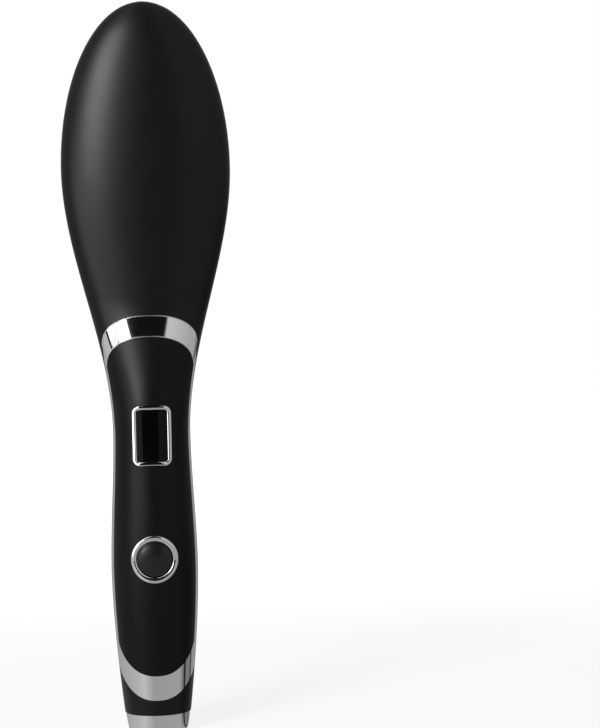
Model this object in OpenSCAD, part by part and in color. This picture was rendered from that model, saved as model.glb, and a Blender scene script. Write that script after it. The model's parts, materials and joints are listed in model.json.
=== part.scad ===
// Heated hair straightening brush, in millimetres.
// +Z runs from the cord end to the top of the head, +Y is the bristle side, -Y the control side.
// The origin is the centre of the cord outlet, on the lower face of the end cap.

/* [Body] */
// Overall length
body_l = 270; // [262:1:280]
// Greatest width of the head
head_w = 62.8; // [60:0.2:66]
// Greatest width of the grip
grip_w = 31.9; // [30.5:0.1:34]
// Width of the neck
neck_w = 28.5; // [27:0.1:30]
// Width at the lower end
end_w = 22.6; // [22:0.1:25]
// Depth of the grip
grip_d = 30.4; // [29.4:0.1:33]
// Depth of the neck
neck_d = 26.6; // [25.6:0.1:28]
// Height of the widest part of the grip
grip_z = 60; // [54:1:62]
// Height of the narrowest part of the neck
neck_z = 110; // [106:1:112]
// Height of the widest part of the head
head_z = 208; // [204:1:212]
// How far the parting line of the head lies in front of the handle axis
head_y = 4.5; // [4:0.1:5]
// Depth of the head in front of its parting line
head_front = 9.1; // [8.8:0.1:9.6]
// Depth of the head behind its parting line
head_back = 10.8; // [10:0.1:12]
// Wall of the moulded shells
wall = 2; // [1.8:0.05:2.2]
// Gap between shells that meet
seam = 0.12; // [0.08:0.01:0.2]

/* [Chrome trim and control panel] */
// Peak of the trim's upper arch
trim_top = 153; // [151:0.5:154]
// Lowest point of the trim
trim_low = 12.4; // [11.5:0.1:14]
// Peak of the control panel
panel_top = 144.8; // [143:0.2:146]
// Lowest point of the control panel
panel_low = 21.5; // [20.5:0.1:23]
// Wall of the control panel
panel_t = 2.2; // [2:0.1:2.4]
// Wall of the chrome trim
trim_t = 2; // [1.6:0.1:2.4]

/* [Display] */
// Height of the display's centre
display_z = 108.8; // [107:0.2:110]
// Width of the display bezel
bezel_w = 14.3; // [13.6:0.1:15]
// Length of the display bezel
bezel_l = 21.8; // [21:0.1:22.6]
// Width of the bezel's rim
bezel_rim = 1.5; // [1.2:0.1:1.8]
// Corner radius of the bezel
bezel_r = 2.6; // [2:0.1:3.2]

/* [Power button] */
// Height of the button's centre
button_z = 64; // [62:0.2:66]
// Diameter of the button
button_d = 12.8; // [12:0.1:13.2]
// Outer diameter of the chrome ring
ring_d = 17.2; // [16.8:0.1:18]
// Travel of the button
travel = 0.6; // [0.4:0.05:0.8]
// Running clearance around the button
button_gap = 0.3; // [0.25:0.01:0.4]

/* [Bristle field] */
// Distance from the side of the head to the row of outer bristles
row_side = 6.3; // [5.8:0.1:6.8]
// Lowest point of the row of outer bristles
row_low = 150.4; // [150:0.2:152]
// Distance from the top of the head to the row of outer bristles
row_end = 5.5; // [5:0.1:6.5]
// Number of outer bristles
bristles = 40; // [32:2:44]
// Diameter of an outer bristle at its root
bristle_d = 2.9; // [2.4:0.1:3.2]
// Diameter of an outer bristle at its tip
bristle_tip_d = 2.3; // [1.8:0.1:2.4]
// How far the outer bristles reach in front of the axis
bristle_y = 31; // [29:0.2:33]
// Distance from the outer bristles to the plate opening at its sides
row_inset = 4.2; // [3.9:0.1:4.5]
// Distance from the outer bristles to the plate opening at its ends
end_inset = 3.1; // [2.9:0.1:3.4]
// Distance from the outer columns of heated pins to the frame of the plate
pin_side = 2.4; // [2.3:0.05:2.8]
// Distance between pins of a column
pin_pitch = 7.78; // [7.6:0.02:7.78]
// Diameter of a heated pin
pin_d = 3.8; // [3.4:0.1:4]
// Diameter of a pin's cool tip
tip_d = 1.9; // [1.6:0.1:2.2]

/* [Cord outlet] */
// Bore for the cord
cord_bore = 5.2; // [4.6:0.1:5.6]
// Outer diameter of the swivel sleeve
sleeve_d = 8; // [7.4:0.1:8.6]
// Radial running clearance of the swivel
swivel_gap = 0.06; // [0.03:0.01:0.09]
// Height of the end cap's edge
cap_l = 7; // [6.6:0.1:7.4]

/* [Hidden] */
$fn = 48;

// Small gap between pieces that are seated on each other
seat = 0.1;
// Points round a section of the body, and rings of the top dome
ring_n = 44;
dome_n = 10;

// ---- form of the body ----
function clamp(t) = min(1, max(0, t));
function ease(t) = let (u = clamp(t)) u * u * (3 - 2 * u);
function mix(a, b, t) = a + (b - a) * t;
function spow(v, e) = sign(v) * pow(abs(v), e);

// Share of the way up the dome of the head, and how far each size has closed there
function dome_t(z, top) = clamp((z - head_z) / (top - head_z));
function closing(z, top, p) = pow(max(0, 1 - pow(dome_t(z, top), p)), 1 / p);
// Share of the way down from the grip to the lower end
function heel(z) = pow(clamp((grip_z - z) / grip_z), 1.65);

shoulder_z = neck_z + 40;
function handle_size(z, low, grip, neck) =
  z < grip_z ? mix(grip, low, heel(z)) : mix(grip, neck, ease((z - grip_z) / (neck_z - grip_z)));
function half_w(z) =
  z < neck_z ? handle_size(z, end_w, grip_w, neck_w) / 2
             : mix(neck_w, head_w, ease((z - neck_z) / (head_z - neck_z))) / 2;
function front_d(z) =
  z < neck_z ? handle_size(z, end_w, grip_d, neck_d) / 2
             : mix(neck_d / 2, head_front, ease((z - neck_z) / (shoulder_z - neck_z)));
function back_d(z) =
  z < neck_z ? handle_size(z, end_w, grip_d, neck_d) / 2
             : mix(mix(neck_d / 2, head_back - 1, ease((z - neck_z) / (shoulder_z - neck_z))),
                   head_back, ease((z - shoulder_z) / (head_z - shoulder_z)));
// The parting line swings forward and the front gets fuller from the neck to the head
swing_z = neck_z + 8;
swing_h = 42;
function swing(z) = ease((z - swing_z) / swing_h);
function parting(z) = head_y * swing(z);
function fullness(z) = 2 + 0.5 * swing(z);

// One point of the body's surface, moved inwards by t; angle 90 is the front, 270 the back
function skin(z, a, t = 0) =
  let (top = body_l - t, s = sin(a), n = s > 0 ? fullness(z) : 2,
       d = s > 0 ? (front_d(z) - t) * closing(z, top, 3) : (back_d(z) - t) * closing(z, top, 2.4))
  [(half_w(z) - t) * closing(z, top, 2) * spow(cos(a), 2 / n), parting(z) + d * spow(s, 2 / n), z];

// Heights of the rings between two levels, crowded together towards the top of the dome
function levels(low, top, step) =
  let (n = ceil((head_z - low) / step))
  concat([for (i = [0:n - 1]) mix(low, head_z, i / n)],
         [for (i = [0:dome_n]) head_z + (top - 0.02 - head_z) * sin(90 * i / dome_n)]);

// Closed solid through a list of rings that all have the same number of points
module loft(rings) {
  n = len(rings[0]);
  m = len(rings);
  polyhedron([for (r = rings) each r],
    concat([[for (i = [0:n - 1]) i]],
      [for (k = [0:m - 2], i = [0:n - 1]) let (j = (i + 1) % n)
        each [[k * n + i, (k + 1) * n + i, (k + 1) * n + j], [k * n + i, (k + 1) * n + j, k * n + j]]],
      [[for (i = [n - 1:-1:0]) (m - 1) * n + i]]), convexity = 6);
}

// The body as a solid, moved inwards by t
module body_form(t = 0, low = 0, step = 9, n = ring_n) {
  loft([for (z = levels(low, body_l - t, step)) [for (i = [0:n - 1]) skin(z, 360 * i / n, t)]]);
}

// Joins everything inside it into one moulding
module moulding() {
  resize([0, 0, 0]) children();
}

// ---- outlines ----
// Half of a superellipse, from its right end to its left end, upwards for up = 1
function arch(w, h, p, up = 1, n = 24) =
  [for (i = [0:n]) let (a = 180 * i / n) [w * spow(cos(a), 2 / p), up * h * pow(sin(a), 2 / p)]];

// Solid that fills an outline of the X-Z plane between two values of Y
module slab(y0, y1) {
  translate([0, y1, 0]) rotate([90, 0, 0]) linear_extrude(y1 - y0) children();
}

// Outline on the control side: an arch at the top and a bowl at the bottom
module back_outline(top, top_w, top_h, low, low_w, low_h, grow = 0) {
  polygon([for (p = arch(top_w + grow, top_h + grow, 2.25)) [p[0], p[1] + top - top_h],
           for (p = arch(low_w + grow, low_h + grow, 2.35)) [-p[0], low + low_h - p[1]]]);
}

arch_h = 10;
bowl_h = 25;
// Widths where the arch and the bowl run out past the side of the handle
trim_side = neck_w / 2 + 3.35;
panel_side = neck_w / 2 + 1.5;
bowl_side = grip_w / 2 - 0.4;

module trim_outline(grow = 0) {
  back_outline(trim_top, trim_side, arch_h, trim_low, bowl_side, bowl_h, grow);
  translate([-grip_w, trim_low + bowl_h]) square([2 * grip_w, trim_top - arch_h - trim_low - bowl_h]);
}
module panel_outline(grow = 0) {
  back_outline(panel_top, panel_side, arch_h, panel_low, bowl_side, bowl_h, grow);
  translate([-grip_w, panel_low + bowl_h]) square([2 * grip_w, panel_top - arch_h - panel_low - bowl_h]);
}

// Everything behind a line that follows the side of the body at a share of its depth, which
// may rise beside the arch
arch_foot = trim_top - 21;
module behind(share, gap = 0, rise = 0) {
  zs = concat([for (i = [0:7]) i * arch_foot / 8], [for (i = [0:6]) mix(arch_foot, trim_top, i / 6)]);
  translate([-head_w, 0, 0]) rotate([90, 0, 90]) linear_extrude(2 * head_w)
    polygon(concat([for (z = zs) let (s = share + rise * ease((z - arch_foot) / arch_h))
                      [parting(z) - s * back_d(z) - gap, z]],
                   [[-2 * grip_d, trim_top + 1], [-2 * grip_d, -1]]));
}
trim_edge = 0.15;
trim_rise = 0.17;
panel_edge = 0.33;

// Half width and highest point of the row of outer bristles, and the middle of its height
row_w = head_w / 2 - row_side;
row_top = body_l - row_end;
row_mid = (row_low + row_top) / 2;

// Closed egg-shaped outline with its own half width and its own reach above and below bed_z
bed_z = head_z + 4;
row_power = 2.2;
opening_power = 2.35;
function egg(w, up, down, p, n) =
  [for (q = arch(w, up, p, 1, n)) [q[0], bed_z + q[1]],
   for (i = [1:n - 1]) let (q = arch(w, down, p, -1, n)[n - i]) [q[0], bed_z + q[1]]];
// The row of outer bristles, and the opening that holds the plate, moved outwards by grow
function bed(n) = egg(row_w, row_top - bed_z, bed_z - row_low, row_power, n);
function opening(grow = 0, n = 32) =
  egg(row_w - row_inset + grow, row_top - bed_z - end_inset + grow, bed_z - row_low - end_inset + grow,
      opening_power, n);
// Lengths along the row of outer bristles, to space them evenly
row = bed(60);
function row_step(i) = norm(row[(i + 1) % len(row)] - row[i % len(row)]);
row_s = [for (i = 0, s = 0; i <= len(row); s = s + row_step(i), i = i + 1) s];
function row_at(s) = [lookup(s, [for (i = [0:len(row)]) [row_s[i], row[i % len(row)][0]]]),
                      lookup(s, [for (i = [0:len(row)]) [row_s[i], row[i % len(row)][1]]])];
// The first bristle stands at the top of the head
row_start = row_s[len(row) / 4];
row_l = row_s[len(row)];
bristle_places = [for (i = [0:bristles - 1])
  let (s = row_start + i * row_l / bristles) row_at(s > row_l ? s - row_l : s)];

// Height of the front surface in Y above a point of the X-Z plane, for a body moved inwards by t
function front_y(x, z, t = 0) =
  let (top = body_l - t, n = fullness(z), w = (half_w(z) - t) * closing(z, top, 2))
  parting(z) + (front_d(z) - t) * closing(z, top, 3)
    * pow(max(0, 1 - pow(min(1, abs(x) / w), n)), 1 / n);
function back_y(x, z, t = 0) =
  parting(z) - (back_d(z) - t) * sqrt(max(0, 1 - pow(x / (half_w(z) - t), 2)));

// ---- housing ----
upper_screw = [10.3, 137];
lower_screw = [9.05, 34.5];
screw_places = [for (s = [-1, 1], p = [upper_screw, lower_screw]) [s * p[0], p[1]]];
screw_hole_d = 5.5;
screw_head_d = 4.9;
screw_head_t = 1.5;
screw_d = 2.9;
boss_d = 6.6;
boss_meet = 0.6;
// Depth of the screw's seat under the front surface
function seat_y(p) = front_y(p[0], p[1]) - 4;
pillar_d = 5.6;
board_screw_z = [46, 123];
board_y = 0;
board_t = 1.6;

// A cylinder along Y between two values of Y
module rod(d, y0, y1, x = 0, z = 0, d1 = 0) {
  translate([x, y1, z]) rotate([90, 0, 0]) cylinder(d1 = d1 > 0 ? d1 : d, d2 = d, h = y1 - y0);
}

tongue_top = 148.5;
tongue_low = 128.2;
tongue_w = 6.9;
slot_h = 2.1;
recess_t = 1.1;
tongue_form_z = neck_z + 10;
// The tongue's outline: a straight top and sides that close in a long curve
module tongue_outline(grow = 0) {
  polygon([for (p = arch(tongue_w + grow, tongue_top - tongue_low + grow, 1.7, -1, 20))
    [p[0], tongue_top + p[1]]]);
}
module slot_outline() {
  polygon([for (p = arch(tongue_w - 0.6, slot_h, 2, 1, 12)) [p[0], tongue_top + seam + p[1]]]);
}

module front_shell() {
  color([0.11, 0.11, 0.115]) difference() {
    moulding() union() {
      difference() {
        body_form();
        body_form(wall, cap_l - 1, 14, 32);
        translate([0, 0, -1]) cylinder(d = 2 * head_w, h = 1 + cap_l);
        rear_half(-seam);
        intersection() {
          slab(-grip_d, 0) trim_outline(seam);
          behind(trim_edge, 0, trim_rise);
        }
        slab(head_y, 2 * head_front + head_y) polygon(opening());
        intersection() {
          slab(0, 2 * head_front) tongue_outline(seam);
          difference() {
            body_form(-1, tongue_form_z, 6);
            body_form(recess_t, tongue_form_z, 6);
          }
        }
      }
      intersection() {
        body_form(wall / 2, cap_l, 14, 32);
        union() {
          for (p = screw_places) rod(boss_d, boss_meet + seam, 2 * head_front, p[0], p[1], boss_d);
          for (z = board_screw_z) rod(pillar_d, board_y + seat, grip_d, 0, z);
        }
      }
    }
    slab(0, 2 * head_front) slot_outline();
    for (p = screw_places) {
      rod(screw_hole_d, seat_y(p), 2 * head_front, p[0], p[1]);
      rod(screw_d + 0.4, 0, 2 * head_front, p[0], p[1]);
    }
    for (z = board_screw_z) rod(1.9, board_y, front_y(0, z, wall) - 1, 0, z);
    for (p = bristle_places) rod(bristle_d + 0.2, 0, 2 * head_front + head_y, p[0], p[1]);
  }
}

// What lies behind the parting line of the head, above the trim
module rear_half(gap = 0) {
  low = trim_top - arch_h - 1;
  high = body_l + 10;
  zs = [low, each [for (i = [1:4]) mix(low, swing_z + swing_h, i / 4)], high];
  difference() {
    translate([-head_w, 0, 0]) rotate([90, 0, 90]) linear_extrude(2 * head_w)
      polygon(concat([for (z = zs) [parting(z) - gap, z]], [[-head_w, high], [-head_w, low]]));
    slab(-head_w, head_w) trim_outline(gap == 0 ? seam : 0);
  }
}

module rear_shell() {
  color([0.11, 0.11, 0.115]) moulding() difference() {
    intersection() {
      body_form();
      rear_half();
    }
    body_form(wall, tongue_form_z, 12, 32);
  }
}

module trim_frame() {
  color([0.8, 0.81, 0.82]) moulding() difference() {
    intersection() {
      body_form(0, cap_l, 6);
      behind(trim_edge, seam, trim_rise);
      slab(-grip_d, 0) trim_outline();
    }
    intersection() {
      slab(-grip_d, 0) panel_outline(seam);
      behind(panel_edge - 0.01);
    }
    body_form(trim_t, 0, 10, 32);
  }
}

module control_panel() {
  color([0.11, 0.11, 0.115]) difference() {
    moulding() union() {
      difference() {
        intersection() {
          body_form(0, cap_l, 7);
          behind(panel_edge, seam);
          slab(-grip_d, 0) panel_outline();
        }
        body_form(panel_t, 0, 10, 32);
      }
      intersection() {
        body_form(panel_t / 2, cap_l, 14, 32);
        for (p = screw_places) rod(boss_d - 1, -grip_d, boss_meet, p[0], p[1]);
      }
    }
    for (p = screw_places) rod(screw_d - 0.4, back_y(p[0], p[1], panel_t), boss_meet + 1, p[0], p[1]);
    rod(ring_d + 2 * seat, -grip_d, 0, 0, button_z);
    slab(-grip_d, 0) bezel_outline(seat);
  }
}

// ---- display ----
module rounded(w, l, r) {
  hull() for (x = [-1, 1], z = [-1, 1]) translate([x * (w / 2 - r), z * (l / 2 - r)]) circle(r);
}
module bezel_outline(grow = 0) {
  translate([0, display_z]) rounded(bezel_w + 2 * grow, bezel_l + 2 * grow, bezel_r + grow);
}
bezel_proud = 0.3;
bezel_deep = 2.4;
lens_gap = 0.1;
lens_w = bezel_w - 2 * bezel_rim;
lens_l = bezel_l - 2 * bezel_rim;
lens_r = bezel_r - 1;
lens_t = 1.6;

// A layer of the body's skin between two depths, cut to what is inside it
module skin_layer(out, deep, z, reach) {
  moulding() intersection() {
    children();
    loft([for (i = [0:8]) let (h = z - reach + i * reach / 4)
      concat([for (a = [215:6:325]) skin(h, a, -out)], [for (a = [325:-6:215]) skin(h, a, deep)])]);
  }
}

module display_bezel() {
  color([0.8, 0.81, 0.82]) skin_layer(bezel_proud, bezel_deep, display_z, bezel_l / 2 + 2)
    slab(-grip_d, 0) difference() {
      bezel_outline();
      translate([0, display_z]) rounded(lens_w + 2 * lens_gap, lens_l + 2 * lens_gap, lens_r + lens_gap);
    }
}

module display_lens() {
  color([0.02, 0.02, 0.025]) skin_layer(0.05, lens_t, display_z, bezel_l / 2 + 2)
    slab(-grip_d, 0) translate([0, display_z]) rounded(lens_w, lens_l, lens_r);
}

module_y = -(neck_d / 2 - panel_t - 1.2);
module_in = 1;
module_w = lens_w - module_in;
module_l = lens_l - module_in;
module display_module() {
  color([0.75, 0.75, 0.72]) difference() {
    translate([-module_w / 2, module_y, display_z - module_l / 2])
      cube([module_w, -board_t - seat - module_y, module_l]);
    for (s = [-1, 1], k = [0:3])
      translate([s * 2.6 - 1.6, module_y - 1, display_z - 8 + 4.4 * k]) cube([3.2, 1.4, 2.6]);
  }
}

// ---- power button ----
switch_w = 6;
switch_h = 3.4;
plunger_d = 3.4;
// How far the plunger stands out of the switch at rest, and how far it reaches in
plunger_out = travel + 0.6;
plunger_in = 1.2;
switch_top = -board_t - switch_h - plunger_out - seat;
button_face = grip_d / 2 + 0.1;
button_edge = 1.1;
ring_proud = 0.35;
ring_deep = 3.2;
// The button's flange stops under the ring, and its stem meets the plunger
flange_d = button_d + 1.2;
flange_t = 1;
flange_y = back_y(flange_d / 2, button_z, ring_deep) + 0.4;
stem_d = 3;
stem_end = switch_top - 0.05;
module button_ring() {
  color([0.8, 0.81, 0.82]) skin_layer(ring_proud, ring_deep, button_z, ring_d / 2 + 2)
    rotate([90, 0, 0]) translate([0, button_z, 0]) difference() {
      cylinder(d = ring_d, h = grip_d);
      translate([0, 0, -1]) cylinder(d = button_d + 2 * button_gap, h = grip_d + 2);
    }
}
module power_button() {
  r = button_d / 2;
  cap_r = (r * r + button_edge * button_edge) / (2 * button_edge);
  color([0.09, 0.09, 0.095]) translate([0, 0, button_z]) rotate([90, 0, 0]) union() {
    intersection() {
      translate([0, 0, -flange_y]) cylinder(r = r, h = button_face + flange_y);
      translate([0, 0, button_face - cap_r]) sphere(cap_r, $fn = 96);
    }
    translate([0, 0, -flange_y - flange_t]) cylinder(d = flange_d, h = flange_t + 0.01);
    translate([0, 0, -stem_end]) cylinder(d = stem_d, h = stem_end - flange_y);
  }
}
module tact_switch() {
  color([0.25, 0.25, 0.26]) difference() {
    translate([-switch_w / 2, -board_t - seat - switch_h, button_z - switch_w / 2])
      cube([switch_w, switch_h, switch_w]);
    rod(plunger_d + seat, switch_top, switch_top + plunger_out + plunger_in + travel + 0.3, 0, button_z);
  }
}
module switch_plunger() {
  color([0.55, 0.12, 0.1]) rod(plunger_d, switch_top, switch_top + plunger_out + plunger_in, 0, button_z);
}

// ---- end cap and swivel ----
cap_step = 0.25;
cap_round = 1.6;
cap_floor = 5.6;
spigot_l = 6;
spigot_r = end_w / 2 - wall - 0.25;
chamber_r = 7;
module end_cap() {
  r0 = end_w / 2 - cap_step;
  r1 = half_w(cap_l) - cap_step;
  color([0.8, 0.81, 0.82]) rotate_extrude() polygon(concat(
    [[sleeve_d / 2 + swivel_gap, 0]],
    [for (a = [0:15:90]) [r0 - cap_round + cap_round * sin(a), cap_round - cap_round * cos(a)]],
    [[r1, cap_l - seam], [spigot_r, cap_l - seam], [spigot_r, cap_l + spigot_l],
     [chamber_r, cap_l + spigot_l], [chamber_r, cap_floor], [sleeve_d / 2 + swivel_gap, cap_floor]]));
}
flange_r = 6.4;
swivel_top = 9;
module cord_swivel() {
  color([0.07, 0.07, 0.07]) difference() {
    rotate_extrude() polygon([[cord_bore / 2, 0], [sleeve_d / 2 - 0.4, 0], [sleeve_d / 2, 0.4],
      [sleeve_d / 2, cap_floor + seat], [flange_r, cap_floor + seat], [flange_r, swivel_top],
      [cord_bore / 2, swivel_top]]);
    for (s = [-1, 1]) translate([s * flange_r - 0.8, -1, cap_floor + 1.4]) cube([1.6, 2, 4]);
  }
}
clip_t = 1.4;
module swivel_clip() {
  color([0.72, 0.6, 0.3]) difference() {
    translate([0, 0, swivel_top + seat]) cylinder(r = chamber_r - seat, h = clip_t);
    translate([0, 0, swivel_top]) cylinder(d = cord_bore + 1, h = clip_t + 1);
    translate([-1.5, 0, swivel_top]) cube([3, chamber_r + 1, clip_t + 1]);
  }
}

// ---- heated plate ----
frame_wall = 1.1;
frame_lip = 0.6;
frame_top = head_y + head_front * 0.86 + frame_lip;
frame_low = head_y + 1.1;
ledge_y = frame_top - 3.9;
ledge_t = 1;
plate_t = 2;
plate_top = ledge_y + ledge_t + seat + plate_t;
module plate_frame() {
  color([0.06, 0.06, 0.065]) difference() {
    slab(frame_low, frame_top) polygon(opening(-seam));
    slab(ledge_y + ledge_t, frame_top + 1) polygon(opening(-frame_wall));
    slab(frame_low - 1, frame_top) polygon(opening(-frame_wall - 1.2));
  }
}
// The columns are centred in the frame, with as many pins as fit between its ends
pin_end = end_inset + frame_wall + pin_d / 2 + 0.3;
pin_rows = 1 + floor((row_top - row_low - 2 * pin_end) / pin_pitch);
pin_z0 = row_mid - (pin_rows - 1) * pin_pitch / 2;
side_rows = 3;
function column(c) = c == 0 ? [0:pin_rows - 1] : c == 1 ? [0:pin_rows - 2] : [side_rows:pin_rows - 4];
// Half width inside the frame at a height
function inside_x(z) =
  let (reach = (z > bed_z ? row_top - bed_z : bed_z - row_low) - end_inset - frame_wall,
       t = min(1, abs(z - bed_z) / reach))
  (row_w - row_inset - frame_wall) * pow(1 - pow(t, opening_power), 1 / opening_power);
// A column keeps its distance from the middle, and moves in where the frame closes
column_x = (row_w - row_inset - frame_wall - pin_side) / 2;
function pin_x(c, z) = min(c * column_x, inside_x(z + sign(z - bed_z) * 1.3) - pin_d / 2 - 0.2);
pin_places = [for (c = [0:2], s = (c == 0 ? [1] : [-1, 1]), k = column(c))
  let (z = pin_z0 + (k + (c == 1 ? 0.5 : 0)) * pin_pitch) [c == 0 ? 0 : s * pin_x(c, z), z, c]];
// Shoulders of the pins and ends of their tips, by column
shoulder_y = [31.2, 30.8, 29.4];
tip_y = [37.2, 36.7, 33.6];
pin_seat = 1.2;
module heating_plate() {
  color([0.05, 0.05, 0.055]) difference() {
    slab(plate_top - plate_t, plate_top) polygon(opening(-frame_wall - seam));
    for (p = pin_places) rod(pin_d - 0.6, plate_top - pin_seat, plate_top + 1, p[0], p[1]);
  }
}
pin_round = 1;
module heated_pins() {
  color([0.035, 0.035, 0.04]) for (p = pin_places)
    translate([p[0], plate_top, p[1]]) rotate([-90, 0, 0]) rotate_extrude() polygon(concat(
      [[0, 0.1 - pin_seat], [pin_d / 2 - 0.35, 0.1 - pin_seat], [pin_d / 2 - 0.35, 0.05], [pin_d / 2, 0.05]],
      [for (i = [0:4]) let (a = 90 * i / 4, h = shoulder_y[p[2]] - plate_top - pin_round)
        [pin_d / 2 - pin_round + pin_round * cos(a), h + pin_round * sin(a)]],
      [[0, shoulder_y[p[2]] - plate_top]]));
}
module pin_tips() {
  color([0.1, 0.1, 0.105]) for (p = pin_places)
    translate([p[0], shoulder_y[p[2]] + 0.03, p[1]]) rotate([-90, 0, 0])
      rotate_extrude() polygon(concat([[0, 0], [tip_d / 2, 0]],
        [for (i = [0:4]) let (a = 90 * i / 4, h = tip_y[p[2]] - shoulder_y[p[2]] - tip_d / 2)
          [tip_d / 2 * cos(a), h + tip_d / 2 * sin(a)]]));
}
root_t = 1;
// Height of a bristle's foot, under the wall where it is lowest beside the bristle
function root_y(p) = front_y(p[0] * 1.06, bed_z + (p[1] - bed_z) * 1.035, wall) - 1.1;
module outer_bristles() {
  color([0.13, 0.13, 0.135]) for (p = bristle_places) {
    root = root_y(p);
    translate([p[0], root, p[1]]) rotate([-90, 0, 0]) rotate_extrude() polygon(concat(
      [[0, -root_t], [bristle_d / 2 + 0.5, -root_t], [bristle_d / 2 + 0.5, 0], [bristle_d / 2, 0]],
      [for (i = [0:4]) let (a = 90 * i / 4, h = bristle_y - root - bristle_tip_d / 2)
        [bristle_tip_d / 2 * cos(a), h + bristle_tip_d / 2 * sin(a)]]));
  }
}
module neck_tongue() {
  color([0.09, 0.09, 0.095]) moulding() intersection() {
    slab(0, 2 * head_front) tongue_outline();
    difference() {
      body_form(0.3, tongue_form_z, 6);
      body_form(recess_t - seat, tongue_form_z, 6);
    }
  }
}

// ---- heater ----
heater_z = row_mid;
heater_l = 62;
heater_w = 12;
heater_t = 2.6;
heater_y = plate_top - plate_t;
clamp_t = 0.8;
clamp_screw_x = 11;
clamp_edge = 2.2;
module heater() {
  color([0.86, 0.85, 0.8]) translate([-heater_w / 2, heater_y - seat - heater_t, heater_z - heater_l / 2])
    cube([heater_w, heater_t, heater_l]);
}
clamp_y = heater_y - heater_t - 2 * seat;
mica_w = 16;
mica_t = 0.4;
module heater_clamp() {
  color([0.65, 0.66, 0.67]) difference() {
    slab(clamp_y - clamp_t, clamp_y) translate([-clamp_screw_x - clamp_edge, heater_z - heater_l / 2 + 6])
      square([2 * (clamp_screw_x + clamp_edge), heater_l - 12]);
    for (x = [-1, 1], z = [-1, 1])
      rod(2.6, clamp_y - 2, clamp_y + 1, x * clamp_screw_x, heater_z + z * (heater_l / 2 - 9));
    slab(clamp_y - 2, clamp_y + 1) translate([0, heater_z]) rounded(4, 20, 2);
  }
}
module heater_insulation() {
  color([0.75, 0.7, 0.55]) slab(clamp_y - clamp_t - seat - mica_t, clamp_y - clamp_t - seat)
    translate([-mica_w / 2, heater_z - heater_l / 2 + 4]) square([mica_w, heater_l - 8]);
}
module clamp_screws() {
  color([0.7, 0.7, 0.7]) for (x = [-1, 1], z = [-1, 1])
    translate([x * clamp_screw_x, 0, heater_z + z * (heater_l / 2 - 9)]) union() {
      rod(4, clamp_y - clamp_t - seat - 1.2, clamp_y - clamp_t - seat);
      rod(2, clamp_y - clamp_t - 1, heater_y - 0.05);
    }
}
under_y = clamp_y - clamp_t - mica_t - 2 * seat;
module thermal_fuse() {
  color([0.8, 0.8, 0.82]) translate([-3.6, under_y - 1.6, heater_z - 15]) cylinder(d = 3.2, h = 11);
}
module thermistor() {
  color([0.75, 0.35, 0.15]) translate([3.6, under_y - 1.1, heater_z - 12]) cylinder(d = 2.2, h = 5);
}

// ---- board ----
board_w = 18;
board_z = [41, 127];
module main_board() {
  color([0.08, 0.3, 0.16]) difference() {
    translate([-board_w / 2, -board_t, board_z[0]]) cube([board_w, board_t, board_z[1] - board_z[0]]);
    for (z = board_screw_z) rod(2.4, -board_t - 1, 1, 0, z);
  }
}
module board_screws() {
  color([0.7, 0.7, 0.7]) for (z = board_screw_z) union() {
    rod(3.8, -board_t - seat - 1.2, -board_t - seat, 0, z);
    rod(1.8, -board_t - 1, board_y + 5, 0, z);
  }
}
chip_z = 80;
chip_w = 7;
chip_t = 1.2;
module control_chip() {
  color([0.05, 0.05, 0.05]) translate([-chip_w / 2, -board_t - seat - chip_t, chip_z])
    cube([chip_w, chip_t, chip_w]);
}
supply_d = 8;
supply_h = 8.9;
supply_z = 60;
module supply_capacitor() {
  color([0.2, 0.25, 0.5]) rod(supply_d, seat, seat + supply_h, supply_d / 2 - 0.5, supply_z);
}
filter_size = [13, 8.5, 6];
filter_z = 78;
module filter_capacitor() {
  color([0.85, 0.65, 0.2]) translate([-filter_size[0] / 2, seat, filter_z]) cube(filter_size);
}
triac_size = [10, 4.4, 9];
triac_tab = [10, 1.3, 6];
triac_z = 95;
module triac() {
  color([0.06, 0.06, 0.06]) union() {
    translate([-triac_size[0] / 2, seat, triac_z]) cube(triac_size);
    translate([-triac_tab[0] / 2, seat, triac_z + triac_size[2]]) cube(triac_tab);
  }
}
module housing_screws() {
  color([0.3, 0.3, 0.31]) for (p = screw_places) difference() {
    union() {
      rod(screw_head_d, seat_y(p) + 0.05, seat_y(p) + 0.05 + screw_head_t, p[0], p[1]);
      rod(screw_d - 0.5, back_y(p[0], p[1], panel_t) + 1, seat_y(p) + 0.1, p[0], p[1]);
    }
    translate([p[0], seat_y(p) + screw_head_t, p[1]]) rotate([90, 0, 0]) for (a = [0, 90])
      rotate([0, 0, a]) translate([-1.4, -0.35, -1]) cube([2.8, 0.7, 1.7]);
  }
}

// A round lead through a short list of points that runs mostly upwards
module lead(points, d) {
  n = 10;
  m = len(points);
  loft([for (k = [0:m - 1]) let (v = points[min(k + 1, m - 1)] - points[max(k - 1, 0)],
      w = v / norm(v), u = cross([0, 1, 0], w), x = u / norm(u), y = cross(w, x))
    [for (i = [0:n - 1]) points[k] + d / 2 * (x * cos(360 * i / n) + y * sin(360 * i / n))]]);
}
lead_d = 1.8;
lead_y = lead_d / 2 + 0.2;
lead_x = 4;
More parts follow.
